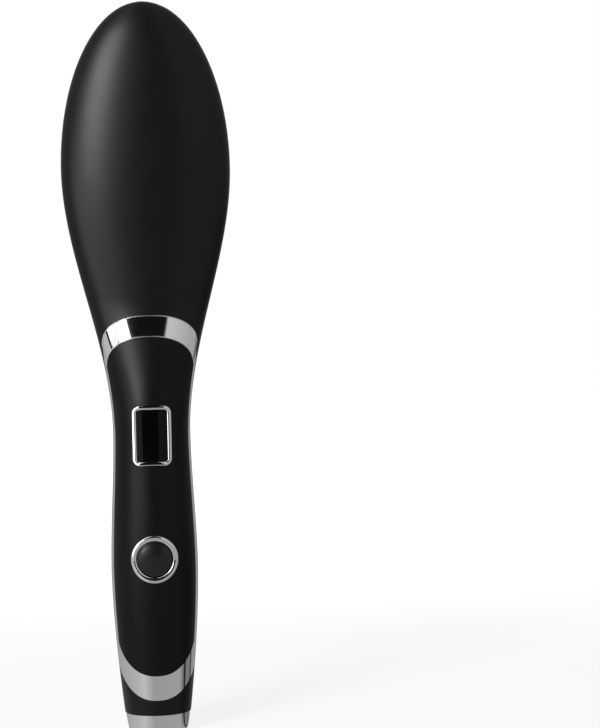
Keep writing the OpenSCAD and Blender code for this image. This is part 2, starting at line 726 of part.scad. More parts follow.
// A heater lead rises from under the plate's frame to the middle of the heater's lower end
lead_z = row_low + end_inset - 3.5;
heater_end = heater_z - heater_l / 2;
heater_lead_y = heater_y - seat - heater_t / 2;
module heater_leads() {
  color([0.85, 0.85, 0.82]) for (s = [-1, 1])
    lead([[s * lead_x, lead_y, board_z[1] - 4], [s * lead_x, lead_y + 1.1, lead_z],
          [s * lead_x, lead_y + 2.1, mix(lead_z, heater_end, 0.4)],
          [s * lead_x, heater_lead_y, mix(lead_z, heater_end, 0.72)],
          [s * lead_x, heater_lead_y, heater_end - 2 * seat]], lead_d);
}
mains_x = 4.6;
module mains_leads() {
  color([0.2, 0.3, 0.6]) for (s = [-1, 1])
    lead([[s * mains_x, 0, swivel_top + clip_t + 2 * seat], [s * mains_x, 0, board_z[0] - 17],
          [s * mains_x, lead_y, board_z[0] - 2], [s * (mains_x + 1), lead_y, board_z[0] + 5],
          [s * (mains_x + 1), lead_y, board_z[0] + 11]], lead_d);
}

front_shell();
rear_shell();
trim_frame();
control_panel();
display_bezel();
display_lens();
button_ring();
power_button();
end_cap();
cord_swivel();
swivel_clip();
plate_frame();
heating_plate();
heated_pins();
pin_tips();
outer_bristles();
neck_tongue();
heater();
heater_clamp();
heater_insulation();
clamp_screws();
thermal_fuse();
thermistor();
main_board();
board_screws();
display_module();
control_chip();
supply_capacitor();
filter_capacitor();
triac();
tact_switch();
switch_plunger();
housing_screws();
heater_leads();
mains_leads();
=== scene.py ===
"""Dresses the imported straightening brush: smooth mouldings, chrome, pins, bristles and their finishes.

Sizes are in millimetres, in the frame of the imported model: +Z runs to the top of the head, +Y is the
bristle side and -Y the control side. Meshes are written in metres.
"""

import json
import logging
import math
from dataclasses import dataclass
from enum import Enum
from typing import Callable, Iterable, Sequence

import bpy
import numpy as np
from mathutils import Matrix, Vector

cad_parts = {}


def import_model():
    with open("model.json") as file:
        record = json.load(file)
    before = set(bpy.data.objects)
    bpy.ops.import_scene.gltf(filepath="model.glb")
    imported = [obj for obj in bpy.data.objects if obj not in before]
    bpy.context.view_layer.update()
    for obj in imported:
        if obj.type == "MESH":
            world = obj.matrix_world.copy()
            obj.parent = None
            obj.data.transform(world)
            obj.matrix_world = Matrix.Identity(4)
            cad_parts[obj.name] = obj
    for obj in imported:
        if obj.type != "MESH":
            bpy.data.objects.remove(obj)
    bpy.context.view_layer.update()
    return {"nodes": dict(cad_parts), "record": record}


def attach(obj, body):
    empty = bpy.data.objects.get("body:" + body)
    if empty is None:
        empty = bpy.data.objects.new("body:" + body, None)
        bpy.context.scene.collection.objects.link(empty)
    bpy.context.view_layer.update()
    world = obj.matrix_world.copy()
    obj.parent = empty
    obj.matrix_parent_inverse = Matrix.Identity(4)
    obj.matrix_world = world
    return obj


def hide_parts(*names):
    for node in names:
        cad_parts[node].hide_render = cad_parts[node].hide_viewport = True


MM = 0.001
HOUSING = "housing"
BUTTON = "button"
SWIVEL = "swivel"
LOG = logging.getLogger("brush")

SEAM = 0.12
CAP_LENGTH = 7.0
BUTTON_Z = 64.0
DISPLAY_Z = 108.8
SCREW_DEPTH = 4.0
CLOSE = 1e-6

Array = np.ndarray
Mesh = bpy.types.Mesh
Node = bpy.types.Node
Socket = bpy.types.NodeSocket
Points = Sequence[tuple[float, float]]
Profile = list[tuple[float, float]]
Greys = tuple[tuple[float, float], ...]


# ---------------------------------------------------------------- form of the body


def ease(t: Array) -> Array:
    """Smooth step from 0 to 1."""
    u = np.clip(t, 0.0, 1.0)
    return u * u * (3.0 - 2.0 * u)


def mix(a: Array, b: Array, t: Array) -> Array:
    """Value at a share t of the way from a to b."""
    return a + (b - a) * t


def signed_power(value: Array, exponent: Array) -> Array:
    """Power of the absolute value that keeps the sign."""
    return np.sign(value) * np.abs(value) ** exponent


@dataclass(frozen=True)
class BodyForm:
    """Outer surface that the head and the handle share, in millimetres."""

    length: float = 270.0
    head_width: float = 62.8
    grip_width: float = 31.9
    neck_width: float = 28.5
    end_width: float = 22.6
    grip_depth: float = 30.4
    neck_depth: float = 26.6
    grip_z: float = 60.0
    neck_z: float = 110.0
    head_z: float = 208.0
    parting_y: float = 4.5
    head_front: float = 9.1
    head_back: float = 10.8
    head_taper: float = 1.0
    heel_power: float = 1.65
    shoulder_rise: float = 40.0
    swing_start: float = 8.0
    swing_reach: float = 42.0
    handle_power: float = 2.0
    added_power: float = 0.5
    dome_powers: tuple[float, float, float] = (2.0, 3.0, 2.4)
    crown: float = 0.15
    top_gap: float = 0.02

    @property
    def shoulder_z(self) -> float:
        """Height where the neck's depth has become the head's."""
        return self.neck_z + self.shoulder_rise

    def handle_size(self, z: Array, low: float, grip: float, neck: float) -> Array:
        """Width or depth of the handle.

        Args:
            z: heights.
            low: size at the lower end.
            grip: size at the grip.
            neck: size at the neck.

        Returns:
            The size at each height.
        """
        heel = np.clip((self.grip_z - z) / self.grip_z, 0.0, 1.0) ** self.heel_power
        rise = ease((z - self.grip_z) / (self.neck_z - self.grip_z))
        return np.where(z < self.grip_z, mix(grip, low, heel), mix(grip, neck, rise))

    def half_width(self, z: Array) -> Array:
        """Half width of the body at each height, before the dome closes."""
        handle = self.handle_size(z, self.end_width, self.grip_width, self.neck_width) / 2
        rise = ease((z - self.neck_z) / (self.head_z - self.neck_z))
        return np.where(z < self.neck_z, handle, mix(self.neck_width, self.head_width, rise) / 2)

    def front_depth(self, z: Array) -> Array:
        """Depth in front of the parting line."""
        handle = self.handle_size(z, self.end_width, self.grip_depth, self.neck_depth) / 2
        rise = ease((z - self.neck_z) / self.shoulder_rise)
        return np.where(z < self.neck_z, handle, mix(self.neck_depth / 2, self.head_front, rise))

    def back_depth(self, z: Array) -> Array:
        """Depth behind the parting line."""
        handle = self.handle_size(z, self.end_width, self.grip_depth, self.neck_depth) / 2
        rise = ease((z - self.neck_z) / self.shoulder_rise)
        low = mix(self.neck_depth / 2, self.head_back - self.head_taper, rise)
        top = ease((z - self.shoulder_z) / (self.head_z - self.shoulder_z))
        return np.where(z < self.neck_z, handle, mix(low, self.head_back, top))

    def swing(self, z: Array) -> Array:
        """Share by which the head's own section has taken over from the handle's."""
        return ease((z - self.neck_z - self.swing_start) / self.swing_reach)

    def parting(self, z: Array) -> Array:
        """Y of the line where the front and the back of the section meet."""
        return self.parting_y * self.swing(z)

    def fullness(self, z: Array) -> Array:
        """Exponent of the front half of the section."""
        return self.handle_power + self.added_power * self.swing(z)

    def closing(self, z: Array, top: float, power: float) -> Array:
        """Share that is left of a size as the dome closes towards its top."""
        t = np.clip((z - self.head_z) / (top - self.head_z), 0.0, 1.0)
        return np.maximum(0.0, 1.0 - t**power) ** (1.0 / power)

    def extents(self, z: Array, inset: float) -> list[Array]:
        """Half width, front depth and back depth at each height, moved inwards by inset."""
        top = self.length - inset
        sizes = (self.half_width(z), self.front_depth(z), self.back_depth(z))
        return [(size - inset) * self.closing(z, top, power) for size, power in zip(sizes, self.dome_powers)]

    def section(self, z: Array, angles: Array, inset: float) -> Array:
        """Points of the surface.

        Args:
            z: heights, one for each ring.
            angles: angles round the ring in radians, a quarter turn being the front.
            inset: distance by which the surface is moved inwards.

        Returns:
            An array of rings, of points, of x, y and z.
        """
        width, front, back = (e[:, None] for e in self.extents(z, inset))
        ahead = np.sin(angles)[None, :] > 0
        power = np.where(ahead, self.fullness(z)[:, None], self.handle_power)
        x = width * signed_power(np.cos(angles)[None, :], 2.0 / power)
        deep = signed_power(np.sin(angles)[None, :], 2.0 / power)
        y = self.parting(z)[:, None] + np.where(ahead, front, back) * deep
        return np.stack([x, y, np.broadcast_to(z[:, None], x.shape)], axis=-1)

    def back_y(self, x: Array, z: Array) -> Array:
        """Y of the control side over points of the X-Z plane."""
        width, _, back = self.extents(np.asarray(z, float), 0.0)
        return self.parting(z) - back * np.sqrt(np.maximum(0.0, 1.0 - (x / width) ** 2))

    def front_y(self, x: Array, z: Array) -> Array:
        """Y of the bristle side over points of the X-Z plane."""
        width, front, _ = self.extents(np.asarray(z, float), 0.0)
        power = self.fullness(z)
        share = np.minimum(1.0, np.abs(x) / width)
        return self.parting(z) + front * (1.0 - share**power) ** (1.0 / power)

    def level(self, points: Array, inset: float) -> Array:
        """Implicit form of the surface: 0 on it, negative inside."""
        least = 1e-3
        x, y, z = points.T
        width, front, back = self.extents(z, inset)
        ahead = y > self.parting(z)
        power = np.where(ahead, self.fullness(z), self.handle_power)
        depth = np.maximum(np.where(ahead, front, back), least)
        across = np.abs(x) / np.maximum(width, least)
        deep = np.abs(y - self.parting(z)) / depth
        return (across**power + deep**power) ** (1.0 / power) - 1.0

    def normals(self, points: Array, inset: float = 0.0) -> Array:
        """Outward unit normals of the surface near points on it."""
        step = 0.02
        slopes = []
        for axis in range(3):
            shift = np.zeros(3)
            shift[axis] = step
            slopes.append(self.level(points + shift, inset) - self.level(points - shift, inset))
        normals = np.stack(slopes, axis=-1)
        normals[points[:, 2] > self.length - inset - self.crown] = (0.0, 0.0, 1.0)
        return normals / np.maximum(np.linalg.norm(normals, axis=1), 1e-12)[:, None]

    def heights(self, low: float, step: float, dome: int, inset: float) -> Array:
        """Heights of rings from low to the top, closer together on the dome."""
        straight = np.linspace(low, self.head_z, int((self.head_z - low) / step) + 1)[:-1]
        rise = self.length - inset - self.top_gap - self.head_z
        return np.concatenate([straight, self.head_z + rise * np.sin(np.linspace(0, math.pi / 2, dome))])


# ---------------------------------------------------------------- outlines

ARCH_STEPS = 72


def full_turn(count: int) -> Array:
    """Even angles once round, in radians."""
    return np.linspace(0.0, 2 * math.pi, count, endpoint=False)


def quarter_turn(count: int, degrees: float = 90.0) -> Array:
    """Even angles from 0 to a quarter turn, or to a number of degrees, in radians."""
    return np.radians(np.linspace(0, degrees, count))


def arch(width: float, height: float, power: float, up: float = 1.0, steps: int = ARCH_STEPS) -> Array:
    """Half of a superellipse from its right end to its left end."""
    a = np.linspace(0.0, math.pi, steps + 1)
    x = width * signed_power(np.cos(a), 2 / power)
    return np.stack([x, up * height * np.sin(a).clip(0) ** (2 / power)], axis=-1)


@dataclass(frozen=True)
class Outlines:
    """Outlines of the inlays and openings in the X-Z plane."""

    form: BodyForm
    arch_height: float = 10.0
    bowl_height: float = 25.0
    arch_power: float = 2.25
    bowl_power: float = 2.35
    trim_top: float = 153.0
    trim_low: float = 12.4
    panel_top: float = 144.8
    panel_low: float = 21.5
    trim_edge: float = 0.15
    panel_edge: float = 0.33
    row_width: float = 25.1
    row_low: float = 150.4
    row_top: float = 264.5
    row_power: float = 2.2
    row_inset: float = 4.2
    end_inset: float = 3.1
    opening_power: float = 2.35
    trim_rise: float = 0.17
    trim_side: float = 3.35
    panel_side: float = 1.5
    bowl_inset: float = 0.4
    bed_shift: float = 4.0
    row_steps: int = 60
    opening_steps: int = 96
    tongue_top: float = 148.5
    tongue_low: float = 128.2
    tongue_width: float = 6.9
    tongue_power: float = 1.7
    slot_inset: float = 0.6
    slot_height: float = 2.1

    def inlay(self, top: float, low: float, side: float, grow: float) -> Array:
        """Outline with an arch on top, a bowl below and sides that run out past the handle."""
        wide = self.form.grip_width
        bowl = wide / 2 - self.bowl_inset
        upper = arch(side + grow, self.arch_height + grow, self.arch_power)
        upper[:, 1] += top - self.arch_height
        lower = arch(bowl + grow, self.bowl_height + grow, self.bowl_power, -1.0)[::-1]
        lower[:, 1] += low + self.bowl_height
        left = [(-wide, top - self.arch_height), (-wide, low + self.bowl_height)]
        right = [(wide, low + self.bowl_height), (wide, top - self.arch_height)]
        return np.concatenate([upper, left, lower, right])

    def trim(self, grow: float = 0.0) -> Array:
        """Outline of the chrome trim."""
        return self.inlay(self.trim_top, self.trim_low, self.form.neck_width / 2 + self.trim_side, grow)

    def panel(self, grow: float = 0.0) -> Array:
        """Outline of the control panel."""
        return self.inlay(self.panel_top, self.panel_low, self.form.neck_width / 2 + self.panel_side, grow)

    @property
    def bed_z(self) -> float:
        """Height where the bristle field is widest."""
        return self.form.head_z + self.bed_shift

    def egg(self, width: float, up: float, down: float, power: float, steps: int) -> Array:
        """Closed outline about bed_z, from its right end.

        Args:
            width: half width.
            up: reach above bed_z.
            down: reach below bed_z.
            power: exponent of the superellipse.
            steps: steps along each half.

        Returns:
            Points of x and z.
        """
        upper = arch(width, up, power, 1.0, steps)
        lower = arch(width, down, power, -1.0, steps)
        loop = np.concatenate([upper, lower[::-1][1:-1]])
        loop[:, 1] += self.bed_z
        return loop

    def row(self) -> Array:
        """Line on which the outer bristles stand."""
        up, down = self.row_top - self.bed_z, self.bed_z - self.row_low
        return self.egg(self.row_width, up, down, self.row_power, self.row_steps)

    def opening(self, grow: float = 0.0) -> Array:
        """Opening that holds the plate, moved outwards by grow."""
        up = self.row_top - self.bed_z - self.end_inset + grow
        down = self.bed_z - self.row_low - self.end_inset + grow
        width = self.row_width - self.row_inset + grow
        return self.egg(width, up, down, self.opening_power, self.opening_steps)

    def tongue(self, grow: float = 0.0) -> Array:
        """Outline of the inset under the bristle field."""
        height = self.tongue_top - self.tongue_low
        loop = arch(self.tongue_width + grow, height + grow, self.tongue_power, -1.0)
        loop[:, 1] += self.tongue_top
        return loop

    def slot(self) -> Array:
        """Outline of the slot over the tongue."""
        loop = arch(self.tongue_width - self.slot_inset, self.slot_height, 2.0, steps=32)
        loop[:, 1] += self.tongue_top + SEAM
        return loop


# ---------------------------------------------------------------- meshes


def placed(name: str, data: bpy.types.ID) -> bpy.types.Object:
    """A new object that is linked into the scene."""
    item = bpy.data.objects.new(name, data)
    bpy.context.scene.collection.objects.link(item)
    return item


def new_mesh(name: str, points: Array, faces: Sequence[Sequence[int]]) -> Mesh:
    """Mesh from points in millimetres."""
    mesh = bpy.data.meshes.new(name)
    mesh.from_pydata((np.asarray(points, float) * MM).tolist(), [], [list(f) for f in faces])
    mesh.validate()
    return mesh


def grid_faces(rings: int, around: int, closed: bool = False) -> list[tuple[int, ...]]:
    """Quads between rings of points; closed joins the last ring to the first."""
    faces = []
    for k in range(rings if closed else rings - 1):
        a, b = k * around, ((k + 1) % rings) * around
        faces.extend((a + i, a + (i + 1) % around, b + (i + 1) % around, b + i) for i in range(around))
    return faces


def loft(name: str, rings: Array) -> Mesh:
    """Closed solid through rings that run counter-clockwise seen from above."""
    count, around = rings.shape[:2]
    faces = grid_faces(count, around)
    faces.append(tuple(range(around - 1, -1, -1)))
    faces.append(tuple(range((count - 1) * around, count * around)))
    return new_mesh(name, rings.reshape(-1, 3), faces)


def prism(name: str, outline: Array, low: float, high: float, axis: str = "Y") -> Mesh:
    """Solid that fills an outline between two values of one axis.

    Args:
        name: name of the mesh.
        outline: points of x and z for axis Y, or of y and z for axis X.
        low: lower end.
        high: upper end.
        axis: axis of the extrusion.

    Returns:
        A closed mesh.
    """
    area = np.sum(outline[:, 0] * np.roll(outline[:, 1], -1) - np.roll(outline[:, 0], -1) * outline[:, 1])
    loop = outline if (area > 0) == (axis == "X") else outline[::-1]
    rings = []
    for value in (low, high):
        column = np.full(len(loop), value)
        parts = [loop[:, 0], column, loop[:, 1]] if axis == "Y" else [column, loop[:, 0], loop[:, 1]]
        rings.append(np.stack(parts, axis=-1))
    return loft(name, np.stack(rings))


def turned(name: str, profile: Points, around: int) -> Mesh:
    """Solid of revolution about Z.

    Args:
        name: name of the mesh.
        profile: points of radius and height, counter-clockwise with the radius to the right.
        around: number of segments.

    Returns:
        A closed mesh; points on the axis become poles.
    """
    angles = full_turn(around)
    points: list[tuple[float, float, float]] = []
    rows: list[list[int]] = []
    for radius, height in profile:
        if radius < CLOSE:
            rows.append([len(points)] * around)
            points.append((0.0, 0.0, height))
        else:
            rows.append(list(range(len(points), len(points) + around)))
            points.extend((radius * math.cos(a), radius * math.sin(a), height) for a in angles)
    faces = []
    for k, row in enumerate(rows):
        other = rows[(k + 1) % len(rows)]
        for i in range(around):
            j = (i + 1) % around
            corners = [row[i], row[j], other[j], other[i]]
            face = [c for n, c in enumerate(corners) if c != corners[n - 1]]
            if len(face) > 2:
                faces.append(face)
    return new_mesh(name, np.array(points), faces)


def moved(mesh: Mesh, matrix: Matrix) -> Mesh:
    """The same mesh after a rigid move."""
    mesh.transform(matrix)
    return mesh


def rod_profile(radius: float, low: float, high: float) -> Profile:
    """Profile of a plain rod about the axis, for a solid of revolution."""
    return [(0, low), (radius, low), (radius, high), (0, high)]


def rounded_end(radius: float, edge: float, top: float, steps: int, degrees: float = 90.0) -> Profile:
    """Profile points round an outer edge, from the side towards the top."""
    turn = quarter_turn(steps, degrees)
    return [(radius - edge + edge * math.cos(a), top - edge + edge * math.sin(a)) for a in turn]


def along_y(x: float = 0.0, z: float = 0.0, y: float = 0.0, away: bool = True) -> Matrix:
    """Move that turns +Z to +Y, or to -Y, and then shifts by a distance in millimetres."""
    turn = Matrix.Rotation(math.radians(-90 if away else 90), 4, "X")
    return Matrix.Translation(Vector((x, y, z)) * MM) @ turn


def joined(name: str, meshes: Iterable[Mesh]) -> Mesh:
    """One mesh that holds the loose parts of several."""
    points, faces, start = [], [], 0
    for mesh in meshes:
        points.extend(tuple(v.co) for v in mesh.vertices)
        faces.extend([start + i for i in p.vertices] for p in mesh.polygons)
        start += len(mesh.vertices)
    whole = bpy.data.meshes.new(name)
    whole.from_pydata(points, [], faces)
    return whole


def copies(mesh: Mesh, places: Iterable[Vector]) -> list[Mesh]:
    """Copies of a mesh moved by distances in millimetres."""
    result = []
    for place in places:
        copy = mesh.copy()
        copy.transform(Matrix.Translation(Vector(place) * MM))
        result.append(copy)
    return result


class Cut(Enum):
    """What a boolean keeps."""

    REMOVE = "DIFFERENCE"
    KEEP = "INTERSECT"
    ADD = "UNION"


def combined(name: str, base: Mesh, steps: Sequence[tuple[Cut, Mesh]]) -> Mesh:
    """Applies booleans to a mesh, in order.

    Args:
        name: name of the result.
        base: mesh that is cut.
        steps: pairs of what is kept and the closed mesh that cuts.

    Returns:
        A new mesh.
    """
    target = placed(name, base)
    helpers = []
    for operation, mesh in steps:
        helpers.append(placed(name + "_tool", mesh))
        modifier = target.modifiers.new("cut", "BOOLEAN")
        modifier.operation = operation.value
        modifier.solver = "MANIFOLD"
        modifier.object = helpers[-1]
    result = evaluated(target, name)
    for helper in helpers:
        bpy.data.objects.remove(helper)
    bpy.data.objects.remove(target)
    return result


def evaluated(target: bpy.types.Object, name: str) -> Mesh:
    """Plain mesh of an object with its modifiers applied."""
    graph = bpy.context.evaluated_depsgraph_get()
    graph.update()
    mesh = bpy.data.meshes.new_from_object(target.evaluated_get(graph), depsgraph=graph)
    mesh.name = name
    return mesh


def shade(mesh: Mesh, angle: float = 32.0) -> Mesh:
    """Smooth shading that breaks at edges sharper than an angle in degrees."""
    mesh.shade_smooth()
    mesh.set_sharp_from_angle(angle=math.radians(angle))
    return mesh


NEAR_SKIN = 0.006
SKIN_ANGLE = 26.0


def follow_form(mesh: Mesh, form: BodyForm, insets: Sequence[float] = (0.0,)) -> Mesh:
    """Gives the corners that lie on the body's surface the normals of that surface.

    Args:
        mesh: a mesh cut from the body.
        form: the body's surface.
        insets: depths of the surfaces that the mesh has faces on.

    Returns:
        The same mesh, with corner normals.
    """
    shade(mesh)
    count = len(mesh.loops)
    normals = np.empty(count * 3, np.float32)
    mesh.corner_normals.foreach_get("vector", normals)
    normals = normals.reshape(-1, 3).astype(float)
    corner_vertex = np.empty(count, np.int32)
    mesh.loops.foreach_get("vertex_index", corner_vertex)
    points = np.empty(len(mesh.vertices) * 3, np.float32)
    mesh.vertices.foreach_get("co", points)
    points = points.reshape(-1, 3)[corner_vertex].astype(float) / MM
    face_normals = np.empty(len(mesh.polygons) * 3, np.float32)
    mesh.polygons.foreach_get("normal", face_normals)
    sizes = np.empty(len(mesh.polygons), np.int32)
    mesh.polygons.foreach_get("loop_total", sizes)
    flat = np.repeat(face_normals.reshape(-1, 3), sizes, axis=0)
    for inset in insets:
        ideal = form.normals(points, inset)
        near = np.abs(form.level(points, inset)) < NEAR_SKIN
        along = np.sum(ideal * flat, axis=1) > math.cos(math.radians(SKIN_ANGLE))
        normals[near & along] = ideal[near & along]
    mesh.normals_split_custom_set(normals.tolist())
    return mesh


# ---------------------------------------------------------------- node trees


@dataclass
class TreeWriter:
    """Short calls for writing a node tree."""

    tree: bpy.types.NodeTree

    def node(self, kind: str, values: dict[str, object] | None = None) -> Node:
        """Adds a node and writes values into its inputs."""
        return self.fill(self.tree.nodes.new(kind), values or {})

    @staticmethod
    def fill(node: Node, values: dict[str, object]) -> Node:
        """Writes values into the inputs of a node, by their names."""
        for name, value in values.items():
            node.inputs[name].default_value = value
        return node

    def link(self, source: Socket, target: Socket) -> None:
        """Links two sockets."""
        self.tree.links.new(source, target)

    def math(self, operation: str, *terms: Socket | float) -> Socket:
        """Adds a maths node on sockets and numbers and returns its result."""
        node = self.node("ShaderNodeMath")
        node.operation = operation
        for socket, term in zip(node.inputs, terms):
            if isinstance(term, float):
                socket.default_value = term
            else:
                self.link(term, socket)
        return node.outputs["Value"]

    def blend(self, share: Socket, first: Socket, second: Socket) -> Socket:
        """Mixes two shaders and returns the result."""
        mixed = self.node("ShaderNodeMixShader")
        for source, target in zip((share, first, second), mixed.inputs):
            self.link(source, target)
        return mixed.outputs["Shader"]


# ---------------------------------------------------------------- finishes


class Grain(Enum):
    """Kind of fine relief on a surface."""

    SPARK = "spark-eroded mould"
    POLISH = "polished"
    BRUSHED = "brushed along Z"
    WEAVE = "braid"


NOISE_SPAN = (0.3, 0.7)
GLOSS_SCALE = 0.6


@dataclass(frozen=True)
class Finish:
    """A procedural surface with its own colour cloud, gloss cloud and fine relief.

    Sizes are in millimetres; the colour is linear.
    """

    name: str
    colour: tuple[float, float, float]
    roughness: float
    metallic: float = 0.0
    specular: float = 0.5
    coat: float = 0.0
    coat_roughness: float = 0.08
    cloud: float = 0.12
    cloud_size: float = 14.0
    gloss_swing: float = 0.05
    relief: float = 0.01
    relief_size: float = 0.35
    grain: Grain = Grain.SPARK

    def material(self) -> bpy.types.Material:
        """Material of this finish, built once."""
        found = bpy.data.materials.get(self.name)
        if found:
            return found
        material = bpy.data.materials.new(self.name)
        material.use_nodes = True
        material.diffuse_color = (*self.colour, 1.0)
        writer = TreeWriter(material.node_tree)
        shader = writer.fill(writer.tree.nodes["Principled BSDF"], {
            "Metallic": self.metallic, "Specular IOR Level": self.specular,
            "Coat Weight": self.coat, "Coat Roughness": self.coat_roughness,
        })
        place = writer.node("ShaderNodeTexCoord").outputs["Object"]
        writer.link(self._colour(writer, place), shader.inputs["Base Color"])
        writer.link(self._gloss(writer, place), shader.inputs["Roughness"])
        writer.link(self._relief(writer, place), shader.inputs["Normal"])
        return material

    @staticmethod
    def _noise(writer: TreeWriter, place: Socket, size: float, detail: float) -> Node:
        """Noise whose blobs are about size millimetres wide."""
        noise = writer.node("ShaderNodeTexNoise", {"Scale": 1.0 / (size * MM), "Detail": detail})
        writer.link(place, noise.inputs["Vector"])
        return noise

    def _colour(self, writer: TreeWriter, place: Socket) -> Socket:
        """A faint cloud of lighter and darker colour."""
        noise = self._noise(writer, place, self.cloud_size, 4.0)
        ramp = writer.node("ShaderNodeValToRGB")
        for stop, at, share in zip(ramp.color_ramp.elements, NOISE_SPAN, (1 - self.cloud, 1 + self.cloud)):
            stop.position = at
            stop.color = (*(min(1.0, c * share) for c in self.colour), 1.0)
        writer.link(noise.outputs["Fac"], ramp.inputs["Fac"])
        return ramp.outputs["Color"]

    def _gloss(self, writer: TreeWriter, place: Socket) -> Socket:
        """A roughness that drifts across the surface."""
        noise = self._noise(writer, place, self.cloud_size * GLOSS_SCALE, 3.0)
        span = writer.node("ShaderNodeMapRange", {
            "From Min": NOISE_SPAN[0], "From Max": NOISE_SPAN[1],
            "To Min": max(0.0, self.roughness - self.gloss_swing),
            "To Max": min(1.0, self.roughness + self.gloss_swing),
        })
        writer.link(noise.outputs["Fac"], span.inputs["Value"])
        return span.outputs["Result"]

    def _relief(self, writer: TreeWriter, place: Socket) -> Socket:
        """The fine relief as a bumped normal."""
        if self.grain is Grain.BRUSHED:
            stretch = writer.node("ShaderNodeMapping", {"Scale": (1.0, 1.0, 0.04)})
            writer.link(place, stretch.inputs["Vector"])
            place = stretch.outputs["Vector"]
        if self.grain is Grain.WEAVE:
            height = writer.node("ShaderNodeTexWave", {"Scale": 0.3 / (self.relief_size * MM)})
            height.bands_direction = "DIAGONAL"
            writer.link(place, height.inputs["Vector"])
        else:
            height = self._noise(writer, place, self.relief_size, 2.0)
        bump = writer.node("ShaderNodeBump", {"Strength": 1.0, "Distance": self.relief * MM})
        writer.link(height.outputs["Fac"], bump.inputs["Height"])
        return bump.outputs["Normal"]


class Finishes:
    """Every finish on the brush."""

    housing = Finish(
        "matte_housing", (0.003, 0.003, 0.0032), 0.34, specular=0.27, gloss_swing=0.012, relief=0.005,
    )
    inlay = Finish(
        "matte_inlay", (0.003, 0.003, 0.0032), 0.36, specular=0.165, gloss_swing=0.012, relief=0.005,
    )
    tongue = Finish("neck_inset", (0.0035, 0.0035, 0.0037), 0.45, specular=0.2, relief=0.004)
    chrome = Finish(
        "polished_chrome", (0.86, 0.865, 0.87), 0.05, metallic=1.0, cloud=0.02, gloss_swing=0.02,
        relief=0.0015, relief_size=3.0, grain=Grain.POLISH,
    )
    window = Finish(
        "display_window", (0.002, 0.002, 0.0022), 0.06, specular=0.12, cloud=0.1, gloss_swing=0.02,
        relief=0.0006, relief_size=4.0, grain=Grain.POLISH,
    )
    button = Finish("satin_button", (0.004, 0.004, 0.0043), 0.3, specular=0.5, relief=0.003)
    nylon = Finish("bristle_nylon", (0.0045, 0.0045, 0.0047), 0.4, specular=0.42, relief=0.004)
    ceramic_pin = Finish(
        "pin_ceramic", (0.002, 0.002, 0.0022), 0.12, specular=0.5, coat=0.8, coat_roughness=0.05,
        gloss_swing=0.04, relief=0.002, relief_size=1.2, grain=Grain.POLISH,
    )
    cool_tip = Finish("tip_nylon", (0.005, 0.005, 0.0053), 0.38, specular=0.45, relief=0.003)
    plate = Finish("plate_coating", (0.002, 0.002, 0.0022), 0.38, specular=0.25, relief=0.004)
    rim = Finish("rim_gloss", (0.004, 0.004, 0.0043), 0.18, specular=0.6, relief=0.002)
    screw = Finish("dark_screw", (0.16, 0.16, 0.165), 0.3, metallic=1.0, relief=0.004, grain=Grain.BRUSHED)
    sleeve = Finish("sleeve_nylon", (0.012, 0.012, 0.012), 0.5, specular=0.35)


INNER_FINISHES: dict[str, Finish] = {
    "contact_metal": Finish("clip_brass", (0.6, 0.42, 0.16), 0.3, metallic=1.0, grain=Grain.BRUSHED),
    "plate": Finishes.plate,
    "ceramic": Finish("heater_ceramic", (0.78, 0.76, 0.68), 0.6),
    "steel": Finish("stamped_steel", (0.5, 0.5, 0.51), 0.35, metallic=1.0, grain=Grain.BRUSHED),
    "insulation": Finish("mica_sheet", (0.5, 0.44, 0.28), 0.45, cloud=0.25, cloud_size=5.0),
    "screws": Finishes.screw,
    "component": Finish("dipped_component", (0.55, 0.27, 0.06), 0.3),
    "board": Finish("solder_mask", (0.02, 0.14, 0.05), 0.35, cloud=0.2, cloud_size=3.0),
    "display": Finish("display_block", (0.5, 0.5, 0.47), 0.5),
    "chip": Finish("chip_package", (0.012, 0.012, 0.012), 0.55),
    "plunger": Finish("red_plunger", (0.35, 0.02, 0.015), 0.4),
    "heater_wire": Finish("glass_braid", (0.6, 0.59, 0.53), 0.8, grain=Grain.WEAVE, relief=0.05),
    "mains_wire": Finish("wire_insulation", (0.02, 0.05, 0.22), 0.45),
}


# ---------------------------------------------------------------- repeats


